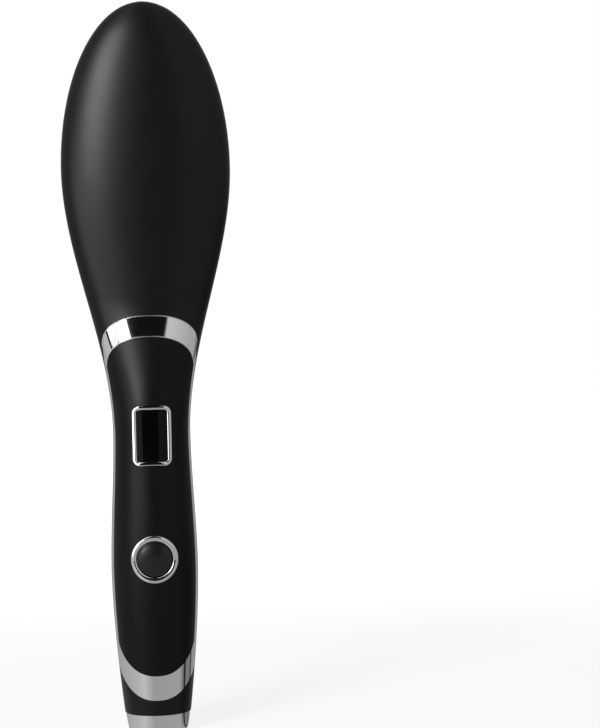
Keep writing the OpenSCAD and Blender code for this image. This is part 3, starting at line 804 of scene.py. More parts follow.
class CopyTree(TreeWriter):
    """A Geometry Nodes tree that repeats a template."""

    def __init__(self, name: str) -> None:
        """Starts the tree with a geometry input and output."""
        super().__init__(bpy.data.node_groups.new(name, "GeometryNodeTree"))
        self.name = name
        self.sockets: dict[str, str] = {}
        for way in ("INPUT", "OUTPUT"):
            self.tree.interface.new_socket(name="Geometry", in_out=way, socket_type="NodeSocketGeometry")
        self.source = self.node("NodeGroupInput")
        self.sink = self.node("NodeGroupOutput")

    def input(self, name: str, kind: str) -> Socket:
        """Adds a named input of the tree and returns its socket."""
        socket = self.tree.interface.new_socket(name=name, in_out="INPUT", socket_type="NodeSocket" + kind)
        self.sockets[name] = socket.identifier
        return self.source.outputs[name]

    def stand(self, points: Socket) -> None:
        """Ends the tree: a copy of the template on each point, made real, with its material."""
        info = self.node("GeometryNodeObjectInfo")
        self.link(self.input("Template", "Object"), info.inputs["Object"])
        instance = self.node("GeometryNodeInstanceOnPoints")
        self.link(points, instance.inputs["Points"])
        self.link(info.outputs["Geometry"], instance.inputs["Instance"])
        real = self.node("GeometryNodeRealizeInstances")
        self.link(instance.outputs["Instances"], real.inputs["Geometry"])
        paint = self.node("GeometryNodeSetMaterial")
        self.link(real.outputs["Geometry"], paint.inputs["Geometry"])
        self.link(self.input("Material", "Material"), paint.inputs["Material"])
        self.link(paint.outputs["Geometry"], self.sink.inputs["Geometry"])

    def run(self, carrier: bpy.types.Object, template: Mesh, values: dict[str, object]) -> Mesh:
        """Runs the tree on an object and returns a plain mesh.

        Args:
            carrier: object whose geometry goes into the tree; it is removed.
            template: mesh that is repeated.
            values: value of each named input.

        Returns:
            The mesh that the tree makes.
        """
        pattern = placed(self.name + "_template", template)
        modifier = carrier.modifiers.new(self.name, "NODES")
        modifier.node_group = self.tree
        modifier[self.sockets["Template"]] = pattern
        for name, value in values.items():
            modifier[self.sockets[name]] = value
        mesh = evaluated(carrier, self.name)
        bpy.data.objects.remove(carrier)
        bpy.data.objects.remove(pattern)
        return mesh


def ring_tree() -> CopyTree:
    """Tree that stands a template at even steps along a closed curve."""
    maker = CopyTree("ring_of_copies")
    resample = maker.node("GeometryNodeResampleCurve")
    maker.link(maker.source.outputs["Geometry"], resample.inputs["Curve"])
    maker.link(maker.input("Count", "Int"), resample.inputs["Count"])
    maker.stand(resample.outputs["Curve"])
    return maker


def points_tree() -> CopyTree:
    """Tree that stands a template on each point of a mesh."""
    maker = CopyTree("copies_on_points")
    maker.stand(maker.source.outputs["Geometry"])
    return maker


END_ROOM = 1.3


def kept_inside(maker: CopyTree, points: Socket) -> Socket:
    """Moves points towards the middle where an egg-shaped rim closes in on them.

    Args:
        maker: tree that is being written.
        points: points that stand in columns.

    Returns:
        The same points, all with their clearance to the rim.
    """
    names = ("Centre", "Room", "Up", "Down", "Clearance", "Power")
    sockets = {name: maker.input(name, "Float") for name in names}
    place = maker.node("ShaderNodeSeparateXYZ")
    maker.link(maker.node("GeometryNodeInputPosition").outputs["Position"], place.inputs["Vector"])
    offset = maker.math("SUBTRACT", place.outputs["Z"], sockets["Centre"])
    above = maker.math("GREATER_THAN", offset, 0.0)
    spread = maker.math("SUBTRACT", sockets["Up"], sockets["Down"])
    reach = maker.math("MULTIPLY_ADD", above, spread, sockets["Down"])
    far = maker.math("ADD", maker.math("ABSOLUTE", offset), END_ROOM * MM)
    share = maker.math("MINIMUM", maker.math("DIVIDE", far, reach), 1.0)
    left = maker.math("SUBTRACT", 1.0, maker.math("POWER", share, sockets["Power"]))
    width = maker.math("POWER", left, maker.math("DIVIDE", 1.0, sockets["Power"]))
    room = maker.math("SUBTRACT", maker.math("MULTIPLY", width, sockets["Room"]), sockets["Clearance"])
    across = maker.math("MINIMUM", maker.math("ABSOLUTE", place.outputs["X"]), room)
    goal = maker.node("ShaderNodeCombineXYZ")
    maker.link(maker.math("MULTIPLY", across, maker.math("SIGN", place.outputs["X"])), goal.inputs["X"])
    maker.link(place.outputs["Z"], goal.inputs["Z"])
    move = maker.node("GeometryNodeSetPosition")
    maker.link(points, move.inputs["Geometry"])
    maker.link(goal.outputs["Vector"], move.inputs["Position"])
    return move.outputs["Geometry"]


def column_tree() -> CopyTree:
    """Tree that stands a template in a column, or in two that mirror each other, inside a rim."""
    maker = CopyTree("columns_of_copies")
    count = maker.input("Count", "Int")
    across = maker.input("Across", "Float")
    start = maker.input("Start", "Float")
    step = maker.node("ShaderNodeCombineXYZ")
    maker.link(maker.input("Pitch", "Float"), step.inputs["Z"])
    lines = []
    for side in (across, maker.math("MULTIPLY", across, -1.0)):
        corner = maker.node("ShaderNodeCombineXYZ")
        maker.link(side, corner.inputs["X"])
        maker.link(start, corner.inputs["Z"])
        line = maker.node("GeometryNodeMeshLine")
        maker.link(count, line.inputs["Count"])
        maker.link(corner.outputs["Vector"], line.inputs["Start Location"])
        maker.link(step.outputs["Vector"], line.inputs["Offset"])
        lines.append(line.outputs["Mesh"])
    choose = maker.node("GeometryNodeSwitch")
    choose.input_type = "GEOMETRY"
    maker.link(maker.input("Both sides", "Bool"), choose.inputs["Switch"])
    maker.link(lines[1], choose.inputs["True"])
    gather = maker.node("GeometryNodeJoinGeometry")
    maker.link(lines[0], gather.inputs["Geometry"])
    maker.link(choose.outputs["Output"], gather.inputs["Geometry"])
    maker.stand(kept_inside(maker, gather.outputs["Geometry"]))
    return maker


# ---------------------------------------------------------------- sub-assemblies


def piece(name: str, mesh: Mesh, finish: Finish, body: str, stands_for: str) -> None:
    """Puts a finished mesh into the scene.

    Args:
        name: name of the piece.
        mesh: its mesh, in place.
        finish: its finish.
        body: CAD body that it rides.
        stands_for: CAD node that it replaces.
    """
    mesh.name = name
    mesh.materials.clear()
    mesh.materials.append(finish.material())
    item = placed(name, mesh)
    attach(item, body)
    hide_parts(stands_for)
    LOG.info("%s: %d faces on %s", name, len(mesh.polygons), body)


@dataclass
class Mouldings:
    """The black mouldings and the chrome trim, all cut from the body's form."""

    form: BodyForm
    outlines: Outlines
    wall: float = 2.0
    panel_wall: float = 2.2
    trim_wall: float = 2.0
    ring_hole: float = 17.4
    bezel_size: tuple[float, float] = (14.5, 22.0)
    bezel_corner: float = 2.7
    screw_hole: float = 5.5
    shank_hole: float = 3.3
    boss: float = 6.6
    boss_y: float = 0.72
    recess: float = 1.1
    tongue_inset: float = 0.3
    tongue_lap: float = 0.08
    bristle_hole: float = 3.1
    lip_radius: float = 0.2
    lip_sunk: float = 0.4
    arch_drop: float = 21.0
    head_low: float = 100.0
    under_low: float = 90.0
    inset_low: float = 118.0
    inset_under: float = 110.0
    far: float = 60.0
    rear_reach: float = 50.0
    rear_ahead: float = 20.0
    panel_reach: float = 40.0
    ring_reach: float = 30.0
    around: int = 176
    step: float = 1.6

    def solid(self, name: str, inset: float = 0.0, fine: bool = True, low: float = 0.0) -> Mesh:
        """The body's form as a solid, moved inwards by inset."""
        around, step, dome = (self.around, self.step, 56) if fine else (72, 5.0, 24)
        z = self.form.heights(low, step, dome, inset)
        return loft(name, self.form.section(z, full_turn(around), inset))

    def behind(self, share: float, gap: float = 0.0, extra: float = 0.0, rise: float = 0.0) -> Mesh:
        """Everything behind a line on the side of the body, up to the trim's top.

        Args:
            share: share of the back's depth at which the line runs.
            gap: distance by which the line is moved back.
            extra: height that is added above the trim.
            rise: what the share gains beside the arch.

        Returns:
            A closed mesh.
        """
        z = np.linspace(0.0, self.outlines.trim_top + extra, 120)
        level = ease((z - self.outlines.trim_top + self.arch_drop) / self.outlines.arch_height)
        y = self.form.parting(z) - (share + rise * level) * self.form.back_depth(z) - gap
        far = -2 * self.form.grip_depth
        loop = np.concatenate([np.stack([y, z], axis=-1), [(far, z[-1] + 1), (far, -1.0)]])
        return prism("behind", loop, -self.form.head_width, self.form.head_width, "X")

    def rear_region(self, gap: float, outline_grow: float) -> Mesh:
        """What lies behind the parting line of the head and outside the trim."""
        low = self.outlines.trim_top - self.outlines.arch_height - 1.0
        straight = self.outlines.trim_top + 9.0
        top = self.form.length + 10.0
        z = np.concatenate([np.linspace(low, straight, 40), [top]])
        line = np.stack([self.form.parting(z) - gap, z], axis=-1)
        loop = np.concatenate([line, [(-self.rear_reach, top), (-self.rear_reach, low)]])
        region = prism("rear", loop, -self.form.head_width, self.form.head_width, "X")
        trim = prism("trim", self.outlines.trim(outline_grow), -self.far, self.rear_ahead)
        return combined("rear", region, [(Cut.REMOVE, trim)])

    def bosses(self, screws: Points) -> Mesh:
        """Screw bosses inside the front moulding."""
        depth = 2 * self.form.head_front
        radius = self.boss / 2
        post = turned("boss", rod_profile(radius, 0, depth), 48)
        posts = joined("bosses", copies(moved(post, along_y(y=self.boss_y)), [(x, 0, z) for x, z in screws]))
        return combined("bosses", posts, [(Cut.KEEP, self.solid("core", self.wall / 2, False, CAP_LENGTH))])

    def front(self, screws: Points, bristles: Points) -> Mesh:
        """The shoulder round the bristles and the bristle side of the handle.

        Args:
            screws: x and z of each screw hole.
            bristles: x and z of each outer bristle.

        Returns:
            The moulding with its openings.
        """
        reach = 2 * self.form.head_front + self.form.parting_y
        trim = combined(
            "trim_room", prism("trim", self.outlines.trim(SEAM), -self.form.grip_depth, 0.0),
            [(Cut.KEEP, self.behind(self.outlines.trim_edge, rise=self.outlines.trim_rise))],
        )
        layer = combined("layer", self.solid("outer", -1.0, False, self.head_low), [
            (Cut.REMOVE, self.solid("inner", self.recess, False, self.under_low)),
            (Cut.KEEP, prism("tongue", self.outlines.tongue(SEAM), 0.0, reach)),
        ])
        shell = combined("front", self.solid("front"), [
            (Cut.REMOVE, self.solid("hollow", self.wall, False, CAP_LENGTH - 1)),
            (Cut.REMOVE, turned("below", rod_profile(self.far, -5, CAP_LENGTH), 32)),
            (Cut.REMOVE, self.rear_region(-SEAM, 0.0)),
            (Cut.REMOVE, trim),
            (Cut.REMOVE, prism("bed", self.outlines.opening(), self.form.parting_y, reach)),
            (Cut.REMOVE, layer),
            (Cut.ADD, self.bosses(screws)),
            (Cut.REMOVE, prism("slot", self.outlines.slot(), 0.0, reach)),
            (Cut.REMOVE, self.screw_holes(screws, reach)),
            (Cut.REMOVE, self.bristle_holes(bristles, reach)),
        ])
        return follow_form(shell, self.form, (0.0, self.recess))

    def screw_holes(self, screws: Points, reach: float) -> Mesh:
        """Counterbores with a hole for the shank at their floor."""
        wide, thin = self.screw_hole / 2, self.shank_hole / 2
        holes = []
        for x, z in screws:
            seat = float(self.form.front_y(x, z)) - SCREW_DEPTH
            profile = [(0, 0), (thin, 0), (thin, seat), (wide, seat), (wide, reach), (0, reach)]
            holes.append(moved(turned("hole", profile, 64), along_y(x, z)))
        return joined("screw_holes", holes)

    def bristle_holes(self, bristles: Points, reach: float) -> Mesh:
        """Holes that the outer bristles stand in."""
        hole = moved(turned("hole", rod_profile(self.bristle_hole / 2, 0, reach), 28), along_y())
        return joined("bristle_holes", copies(hole, [(x, 0, z) for x, z in bristles]))

    def rear(self) -> Mesh:
        """The smooth back of the head."""
        shell = combined("rear", self.solid("rear", low=self.head_low), [
            (Cut.KEEP, self.rear_region(0.0, SEAM)),
            (Cut.REMOVE, self.solid("hollow", self.wall, False, self.under_low)),
        ])
        return follow_form(shell, self.form)

    def trim(self) -> Mesh:
        """The chrome loop round the control panel."""
        inner = combined("inner", prism("panel", self.outlines.panel(SEAM), -self.panel_reach, 0.0), [
            (Cut.KEEP, self.behind(self.outlines.panel_edge - 0.01, 0.0, 4.0)),
        ])
        loop = combined("trim", self.solid("trim"), [
            (Cut.KEEP, self.behind(self.outlines.trim_edge, SEAM, rise=self.outlines.trim_rise)),
            (Cut.KEEP, prism("outline", self.outlines.trim(), -self.form.grip_depth, 0.0)),
            (Cut.REMOVE, inner),
            (Cut.REMOVE, self.solid("hollow", self.trim_wall, False)),
        ])
        return follow_form(combined("trim", loop, [(Cut.ADD, self.lips())]), self.form)

    def lips(self) -> Mesh:
        """Fine half-round lips along both edges of the chrome arch."""
        lines = self.outlines
        tubes = joined("lips", [
            self.lip(lines.trim(-self.lip_radius)[:ARCH_STEPS + 1]),
            self.lip(lines.panel(SEAM + self.lip_radius)[:ARCH_STEPS + 1]),
        ])
        room = self.behind(lines.trim_edge + 0.02, 0.2, -0.1, lines.trim_rise)
        return combined("lips", tubes, [(Cut.KEEP, room)])

    def lip(self, path: Array) -> Mesh:
        """A thin rod over a path of x and z, half sunk in the skin."""
        radius = self.lip_radius
        y = self.form.back_y(path[:, 0], path[:, 1])
        points = np.stack([path[:, 0], y, path[:, 1]], axis=-1)
        up = self.form.normals(points)
        side = np.cross(np.gradient(points, axis=0), up)
        side /= np.linalg.norm(side, axis=1)[:, None]
        centre = points - up * radius * self.lip_sunk
        turn = full_turn(12)[None, :, None]
        spokes = np.cos(turn) * side[:, None] + np.sin(turn) * up[:, None]
        return loft("lip", centre[:, None] + radius * spokes)

    def panel(self) -> Mesh:
        """The black inlay that carries the display and the button."""
        ring = turned("ring", rod_profile(self.ring_hole / 2, 0, self.ring_reach), 128)
        opening = rounded_loop(*self.bezel_size, self.bezel_corner) + (0.0, DISPLAY_Z)
        inlay = combined("panel", self.solid("panel"), [
            (Cut.KEEP, self.behind(self.outlines.panel_edge, SEAM)),
            (Cut.KEEP, prism("outline", self.outlines.panel(), -self.form.grip_depth, 0.0)),
            (Cut.REMOVE, self.solid("hollow", self.panel_wall, False)),
            (Cut.REMOVE, moved(ring, along_y(z=BUTTON_Z, away=False))),
            (Cut.REMOVE, prism("window", opening, -self.panel_reach, 0.0)),
        ])
        return follow_form(inlay, self.form)

    def tongue(self) -> Mesh:
        """The inset under the bristle field."""
        inset = combined("tongue", self.solid("tongue", self.tongue_inset, True, self.inset_low), [
            (Cut.REMOVE, self.solid("under", self.recess - self.tongue_lap, False, self.inset_under)),
            (Cut.KEEP, prism("outline", self.outlines.tongue(), 0.0, 2 * self.form.head_front)),
        ])
        return follow_form(inset, self.form, (self.tongue_inset,))

    def dress(self, screws: Points, bristles: Points) -> None:
        """Puts the mouldings into the scene."""
        front = self.front(screws, bristles)
        piece("front_housing", front, Finishes.housing, HOUSING, "front_shell")
        piece("rear_cover", self.rear(), Finishes.housing, HOUSING, "rear_shell")
        piece("trim_loop", self.trim(), Finishes.chrome, HOUSING, "trim_frame")
        piece("control_inlay", self.panel(), Finishes.inlay, HOUSING, "control_panel")
        piece("tongue_inset", self.tongue(), Finishes.tongue, HOUSING, "neck_tongue")


def rounded_loop(width: float, height: float, corner: float) -> Array:
    """Rounded rectangle about the origin, counter-clockwise from the right side."""
    loop, steps = [], 14
    for k, (sx, sz) in enumerate(((1, 1), (-1, 1), (-1, -1), (1, -1))):
        for a in np.linspace(k * math.pi / 2, (k + 1) * math.pi / 2, steps + 1):
            loop.append((sx * (width / 2 - corner) + corner * math.cos(a),
                         sz * (height / 2 - corner) + corner * math.sin(a)))
    return np.array(loop)


@dataclass
class SkinFittings:
    """The display and the button's ring, which follow the curve of the control side."""

    form: BodyForm
    bezel_size: tuple[float, float] = (14.3, 21.8)
    bezel_rim: float = 1.5
    bezel_corner: float = 2.6
    least_corner: float = 0.9
    bezel_proud: float = 0.3
    bezel_deep: float = 2.4
    bezel_crest: float = 0.7
    lens_gap: float = 0.1
    lens_proud: float = -0.12
    lens_deep: float = 1.6
    ring_size: float = 17.2
    ring_hole: float = 13.4
    ring_proud: float = 0.35
    ring_deep: float = 3.2
    ring_crest: float = 0.95
    outer_edge: float = 0.22
    crest_edge: float = 0.14
    bevel: float = 27.0
    button_size: float = 12.8
    button_proud: float = 0.1
    button_rise: float = 1.1
    button_edge: float = 0.35
    button_under: float = 9.6
    flange: float = 1.2
    stem: tuple[float, float] = (1.5, 6.4)

    def on_skin(self, loop: Array, height: float) -> Array:
        """Points over a loop of x and z, a height above the control side."""
        y = self.form.back_y(loop[:, 0], loop[:, 1]) - height
        return np.stack([loop[:, 0], y, loop[:, 1]], axis=-1)

    def band(self, name: str, loops: Sequence[Array], heights: Sequence[float]) -> Mesh:
        """Closed band through loops on the skin, from the outer wall over the top to the inner wall."""
        rings = np.stack([self.on_skin(loop, h) for loop, h in zip(loops, heights)])
        count, around = rings.shape[:2]
        faces = grid_faces(count, around, closed=True)
        return shade(new_mesh(name, rings.reshape(-1, 3), faces), 40.0)

    def profile(self, proud: float, deep: float, width: float, crest: float) -> Profile:
        """Section of a band with a rounded outer edge, a crest and a bevel down to its inner wall.

        Args:
            proud: height of the crest over the skin.
            deep: depth of the band's walls under the skin.
            width: width of the band.
            crest: distance from the outer wall to the end of the crest.

        Returns:
            Points of distance inwards from the outer wall and of height.
        """
        edge, soft = self.outer_edge, self.crest_edge
        lean = math.radians(self.bevel)
        rise = [(edge - edge * math.cos(a), proud - edge + edge * math.sin(a)) for a in quarter_turn(7)]
        low = proud - math.tan(lean) * (width - crest)
        bend = [(crest + soft * math.sin(a), proud - soft * (1 - math.cos(a))) for a in (0.0, lean / 2, lean)]
        return [(0.0, -deep), *rise, *bend, (width - 0.1, low + 0.03), (width, low - 0.08), (width, -deep)]

    def bezel(self) -> Mesh:
        """The chrome frame of the display."""
        width, height = self.bezel_size
        rim = self.bezel_rim - self.lens_gap
        shape = self.profile(self.bezel_proud, self.bezel_deep, rim, self.bezel_crest)
        corners = [max(self.least_corner, self.bezel_corner - d) for d, _ in shape]
        loops = [
            rounded_loop(width - 2 * d, height - 2 * d, corner) + (0.0, DISPLAY_Z)
            for (d, _), corner in zip(shape, corners)
        ]
        return self.band("bezel", loops, [h for _, h in shape])

    def ring(self) -> Mesh:
        """The chrome ring round the button."""
        rim = (self.ring_size - self.ring_hole) / 2
        shape = self.profile(self.ring_proud, self.ring_deep, rim, self.ring_crest)
        angles = full_turn(160)
        circle = np.stack([np.cos(angles), np.sin(angles)], axis=-1)
        loops = [circle * (self.ring_size / 2 - d) + (0.0, BUTTON_Z) for d, _ in shape]
        return self.band("ring", loops, [h for _, h in shape])

    def lens(self) -> Mesh:
        """The glossy window, with a soft edge."""
        width, height = (s - 2 * self.bezel_rim for s in self.bezel_size)
        top = self.lens_proud
        steps = [(0.0, -self.lens_deep), (0.0, top - 0.15), (0.05, top - 0.04), (0.15, top)]
        steps += [(d, top) for d in np.linspace(0.6, width / 2 - 0.02, 12)]
        rings = []
        for d, h in steps:
            corner = max(0.01, min(self.bezel_corner - 1.0 - d, (width - 2 * d) / 2))
            loop = rounded_loop(width - 2 * d, height - 2 * d, corner) + (0.0, DISPLAY_Z)
            rings.append(self.on_skin(loop, h))
        return follow_form(loft("lens", np.stack(rings)), self.form, (-top,))

    def button(self) -> Mesh:
        """The domed button with its flange and stem, pointing along +Z from the axis."""
        radius = self.button_size / 2
        face = self.form.grip_depth / 2 + self.button_proud
        dome = (radius**2 + self.button_rise**2) / (2 * self.button_rise)
        across = radius * np.linspace(0, 0.93, 14)
        top = list(zip(across, face - dome + np.sqrt(dome**2 - across**2)))
        rim = rounded_end(radius, self.button_edge, top[-1][1], 6, 75.0)
        outer = radius + self.flange / 2
        under, (stem, low) = self.button_under, self.stem
        foot = [(0, low), (stem, low), (stem, under - 1), (outer, under - 1), (outer, under), (radius, under)]
        return shade(turned("button", foot + rim + top[::-1], 144), 40.0)

    def dress(self) -> None:
        """Puts the fittings into the scene."""
        piece("display_frame", self.bezel(), Finishes.chrome, HOUSING, "display_bezel")
        piece("display_window", self.lens(), Finishes.window, HOUSING, "display_lens")
        piece("button_surround", self.ring(), Finishes.chrome, HOUSING, "button_ring")
        cap = moved(self.button(), along_y(z=BUTTON_Z, away=False))
        piece("button_cap", cap, Finishes.button, BUTTON, "power_button")


@dataclass
class CordEnd:
    """The chrome cap and the swivel sleeve at the lower end."""

    form: BodyForm
    step: float = 0.25
    rounding: float = 1.6
    edge: float = 0.12
    floor: float = 5.6
    chamber: float = 7.0
    spigot: float = 9.05
    spigot_top: float = 13.0
    sleeve: float = 4.0
    collar: float = 6.4
    sleeve_top: float = 9.0
    bore: float = 2.6
    clearance: float = 0.06

    def cap(self) -> Mesh:
        """The end cap with its rounded lower edge."""
        low = self.form.end_width / 2 - self.step
        high = float(self.form.half_width(np.array(CAP_LENGTH))) - self.step
        inner = self.sleeve + self.clearance
        round_edge = [(low - self.rounding + self.rounding * math.sin(a), self.rounding * (1 - math.cos(a)))
                      for a in quarter_turn(13)]
        top, edge = CAP_LENGTH - SEAM, self.edge
        profile = [
            (inner, edge), (inner + edge, 0.0), *round_edge, (high, top - edge), (high - edge, top),
            (self.spigot, top), (self.spigot, self.spigot_top), (self.chamber, self.spigot_top),
            (self.chamber, self.floor), (inner, self.floor),
        ]
        return shade(turned("cap", profile, 160), 35.0)

    def swivel(self) -> Mesh:
        """The sleeve that turns in the cap."""
        inside, outside, step = 0.25, 0.4, self.floor + 0.1
        profile = [
            (self.bore, inside), (self.bore + inside, 0.0), (self.sleeve - outside, 0.0),
            (self.sleeve, outside), (self.sleeve, step), (self.collar, step),
            (self.collar, self.sleeve_top), (self.bore, self.sleeve_top),
        ]
        return shade(turned("swivel", profile, 96), 35.0)

    def dress(self) -> None:
        """Puts the cap and the sleeve into the scene."""
        piece("cord_end_cap", self.cap(), Finishes.chrome, HOUSING, "end_cap")
        piece("swivel_sleeve", self.swivel(), Finishes.sleeve, SWIVEL, "cord_swivel")


@dataclass(frozen=True)
class PinColumn:
    """A column of heated pins, or a mirrored pair of them."""

    across: float
    start: float
    count: int
    shoulder: float
    tip: float


@dataclass
class BristleField:
    """The plate's rim, the heated pins with their tips, and the ring of outer bristles."""

    form: BodyForm
    outlines: Outlines
    bristles: int = 40
    bristle_root: float = 1.45
    bristle_tip: float = 1.15
    bristle_y: float = 31.0
    pin_radius: float = 1.9
    pin_round: float = 1.0
    tip_radius: float = 0.95
    column_step: float = 8.7
    pitch: float = 7.78
    first_pin: float = 156.88
    plate_y: float = 12.13
    pin_fillet: float = 0.45
    pin_sunk: float = 0.4
    pin_clearance: float = 0.2
    tip_gap: float = 0.02
    bristle_foot: float = 8.2
    taper_start: float = 14.0
    rim_y: float = 12.926
    rim_wall: float = 1.1
    rim_deep: float = 1.1
    rim_edges: tuple[float, float] = (0.45, 0.25)

    def columns(self) -> list[PinColumn]:
        """The middle column, the pair beside it and the outer pair."""
        return [
            PinColumn(0.0, self.first_pin, 14, 31.2, 37.2),
            PinColumn(self.column_step, self.first_pin + self.pitch / 2, 13, 30.8, 36.7),
            PinColumn(2 * self.column_step, self.first_pin + 3 * self.pitch, 8, 29.4, 33.6),
        ]

    def room(self) -> dict[str, float]:
        """Half width and reaches inside the rim, and what a pin keeps from it, for the column tree."""
        inside = self.outlines.end_inset + self.rim_wall
        return {
            "Room": (self.outlines.row_width - self.outlines.row_inset - self.rim_wall) * MM,
            "Up": (self.outlines.row_top - self.outlines.bed_z - inside) * MM,
            "Down": (self.outlines.bed_z - self.outlines.row_low - inside) * MM,
            "Clearance": (self.pin_radius + self.pin_clearance) * MM,
        }

    def row(self) -> Array:
        """The row of outer bristles as a fine loop that starts at the top of the head."""
        loop = self.outlines.row()
        return np.roll(loop, -(len(loop) // 4), axis=0)

    def places(self) -> Profile:
        """x and z of every outer bristle, evenly spaced along the row."""
        loop = self.row()
        closed = np.vstack([loop, loop[:1]])
        reach = np.concatenate([[0.0], np.cumsum(np.linalg.norm(np.diff(closed, axis=0), axis=1))])
        steps = np.arange(self.bristles) * reach[-1] / self.bristles
        return list(zip(np.interp(steps, reach, closed[:, 0]), np.interp(steps, reach, closed[:, 1])))

    def pin(self, column: PinColumn) -> Mesh:
        """A heated pin, standing on +Y."""
        foot, fillet = self.plate_y - self.pin_sunk, self.pin_fillet
        wide = self.pin_radius + fillet
        flare = [(wide - fillet * math.sin(a), self.plate_y + fillet - fillet * math.cos(a))
                 for a in quarter_turn(4)]
        end = rounded_end(self.pin_radius, self.pin_round, column.shoulder, 6)
        profile = [(0, foot), (wide, foot), *flare, *end, (0, column.shoulder)]
        return shade(moved(turned("pin", profile, 28), along_y()), 60.0)

    def tip(self, column: PinColumn) -> Mesh:
        """The thinner cool tip of a pin."""
        start = column.shoulder + self.tip_gap
        end = rounded_end(self.tip_radius, self.tip_radius, column.tip, 6)
        return shade(moved(turned("tip", [(0, start), (self.tip_radius, start), *end], 20), along_y()), 60.0)

    def bristle(self) -> Mesh:
        """An outer bristle, tapered, with a round end."""
        foot, root = self.bristle_foot, self.bristle_root
        end = rounded_end(self.bristle_tip, self.bristle_tip, self.bristle_y, 7)
        profile = [(0, foot), (root, foot), (root, self.taper_start), *end]
        return shade(moved(turned("bristle", profile, 24), along_y()), 60.0)

    def pins(self, name: str, make: Callable[[PinColumn], Mesh], finish: Finish) -> Mesh:
        """All pins, or all tips, through the column tree.

        Args:
            name: name of the mesh.
            make: what makes the template of a column.
            finish: finish of the copies.

        Returns:
            One mesh with every copy.
        """
        meshes = []
        for column in self.columns():
            values = {
                "Count": column.count, "Pitch": self.pitch * MM, "Across": column.across * MM,
                "Start": column.start * MM, "Both sides": column.across > 0, "Material": finish.material(),
                "Centre": self.outlines.bed_z * MM, "Power": self.outlines.opening_power, **self.room(),
            }
            carrier = placed("carrier", bpy.data.meshes.new("carrier"))
            meshes.append(column_tree().run(carrier, make(column), values))
        return shade(joined(name, meshes), 60.0)

    def ring(self) -> Mesh:
        """The ring of outer bristles, through the ring tree."""
        curve = bpy.data.curves.new("row", "CURVE")
        curve.dimensions = "3D"
        spline = curve.splines.new("POLY")
        loop = self.row()
        spline.points.add(len(loop) - 1)
        for point, (x, z) in zip(spline.points, loop):
            point.co = (x * MM, 0.0, z * MM, 1.0)
        spline.use_cyclic_u = True
        values = {"Count": self.bristles, "Material": Finishes.nylon.material()}
        mesh = ring_tree().run(placed("row", curve), self.bristle(), values)
        return shade(joined("bristles", [mesh]), 60.0)

    def rim(self) -> Mesh:
        """The glossy rim round the plate, with a rounded lip."""
        outer, inner = -SEAM, -self.rim_wall
        edge, lip = self.rim_edges
        turn = quarter_turn(7)
        rise = rounded_end(outer, edge, self.rim_y, len(turn))
        fall = [(inner + lip - lip * math.sin(a), self.rim_y - lip + lip * math.cos(a)) for a in turn]
        low = self.form.parting_y + self.rim_deep
        profile = [(outer, low), *rise, *fall, (inner, low)]
        rings = []
        for grow, y in profile:
            loop = self.outlines.opening(grow)
            rings.append(np.stack([loop[:, 0], np.full(len(loop), y), loop[:, 1]], axis=-1))
        stack = np.stack(rings)
        faces = [face[::-1] for face in grid_faces(*stack.shape[:2], closed=True)]
        return shade(new_mesh("rim", stack.reshape(-1, 3), faces), 40.0)

    def dress(self) -> None:
        """Puts the field into the scene."""
        piece("plate_rim", self.rim(), Finishes.rim, HOUSING, "plate_frame")
        pins = self.pins("pin", self.pin, Finishes.ceramic_pin)
        piece("heated_pin_set", pins, Finishes.ceramic_pin, HOUSING, "heated_pins")
        tips = self.pins("tip", self.tip, Finishes.cool_tip)
        piece("cool_tip_set", tips, Finishes.cool_tip, HOUSING, "pin_tips")
        piece("bristle_ring", self.ring(), Finishes.nylon, HOUSING, "outer_bristles")


@dataclass
class Screws:
    """The four housing screws, deep in their holes."""

    form: BodyForm
    upper: tuple[float, float] = (10.3, 137.0)
    lower: tuple[float, float] = (9.05, 34.5)
    head: float = 2.45
    thickness: float = 1.5
    shank: float = 1.2
    shank_length: float = 3.0
    lift: float = 0.05
    cross: tuple[float, float] = (1.4, 0.34)
    cross_depth: float = 0.9

    def places(self) -> Profile:
        """x and z of every screw."""
        return [(side * x, z) for side in (-1, 1) for x, z in (self.upper, self.lower)]

    def screw(self, place: tuple[float, float]) -> Mesh:
        """A pan-head screw with a cross recess at the depth of one of the holes."""
        seat = float(self.form.front_y(*place)) - SCREW_DEPTH + self.lift
        top, low = seat + self.thickness, seat - self.shank_length
        profile = [
            (0, low), (self.shank, low), (self.shank, seat), (self.head, seat), (self.head, top - 0.6),
            (self.head - 0.25, top - 0.22), (self.head - 0.8, top), (0, top),
        ]
        body = moved(turned("screw", profile, 48), along_y())
        bars = [
            prism("bar", np.array([(-w, -h), (w, -h), (w, h), (-w, h)]), top - self.cross_depth, top + 1.0)
            for w, h in (self.cross, self.cross[::-1])
        ]
        return shade(combined("screw", body, [(Cut.REMOVE, bar) for bar in bars]), 35.0)

    def dress(self) -> None:
        """Puts the screws into the scene."""
        pairs = []
        for x, z in (self.upper, self.lower):
            carrier = placed("carrier", new_mesh("carrier", np.array([(x, 0, z), (-x, 0, z)]), []))
            values = {"Material": Finishes.screw.material()}
            pairs.append(points_tree().run(carrier, self.screw((x, z)), values))
        screws = shade(joined("screws", pairs), 35.0)
        piece("screw_set", screws, Finishes.screw, HOUSING, "housing_screws")


@dataclass
class InnerParts:
    """The pieces that keep their CAD shape and only take a finish."""

    record: dict
    nodes: dict[str, bpy.types.Object]

    def dress(self) -> None:
        """Gives each CAD node the finish of its slot."""
        for part in self.record["subparts"]:
            finish = INNER_FINISHES.get(part["material_slot"])
            item = self.nodes[part["node"]]
            if finish is None or item.hide_render:
                continue
            item.data.materials.clear()
            item.data.materials.append(finish.material())
            LOG.info("%s: finish %s", part["node"], finish.name)


# ---------------------------------------------------------------- studio


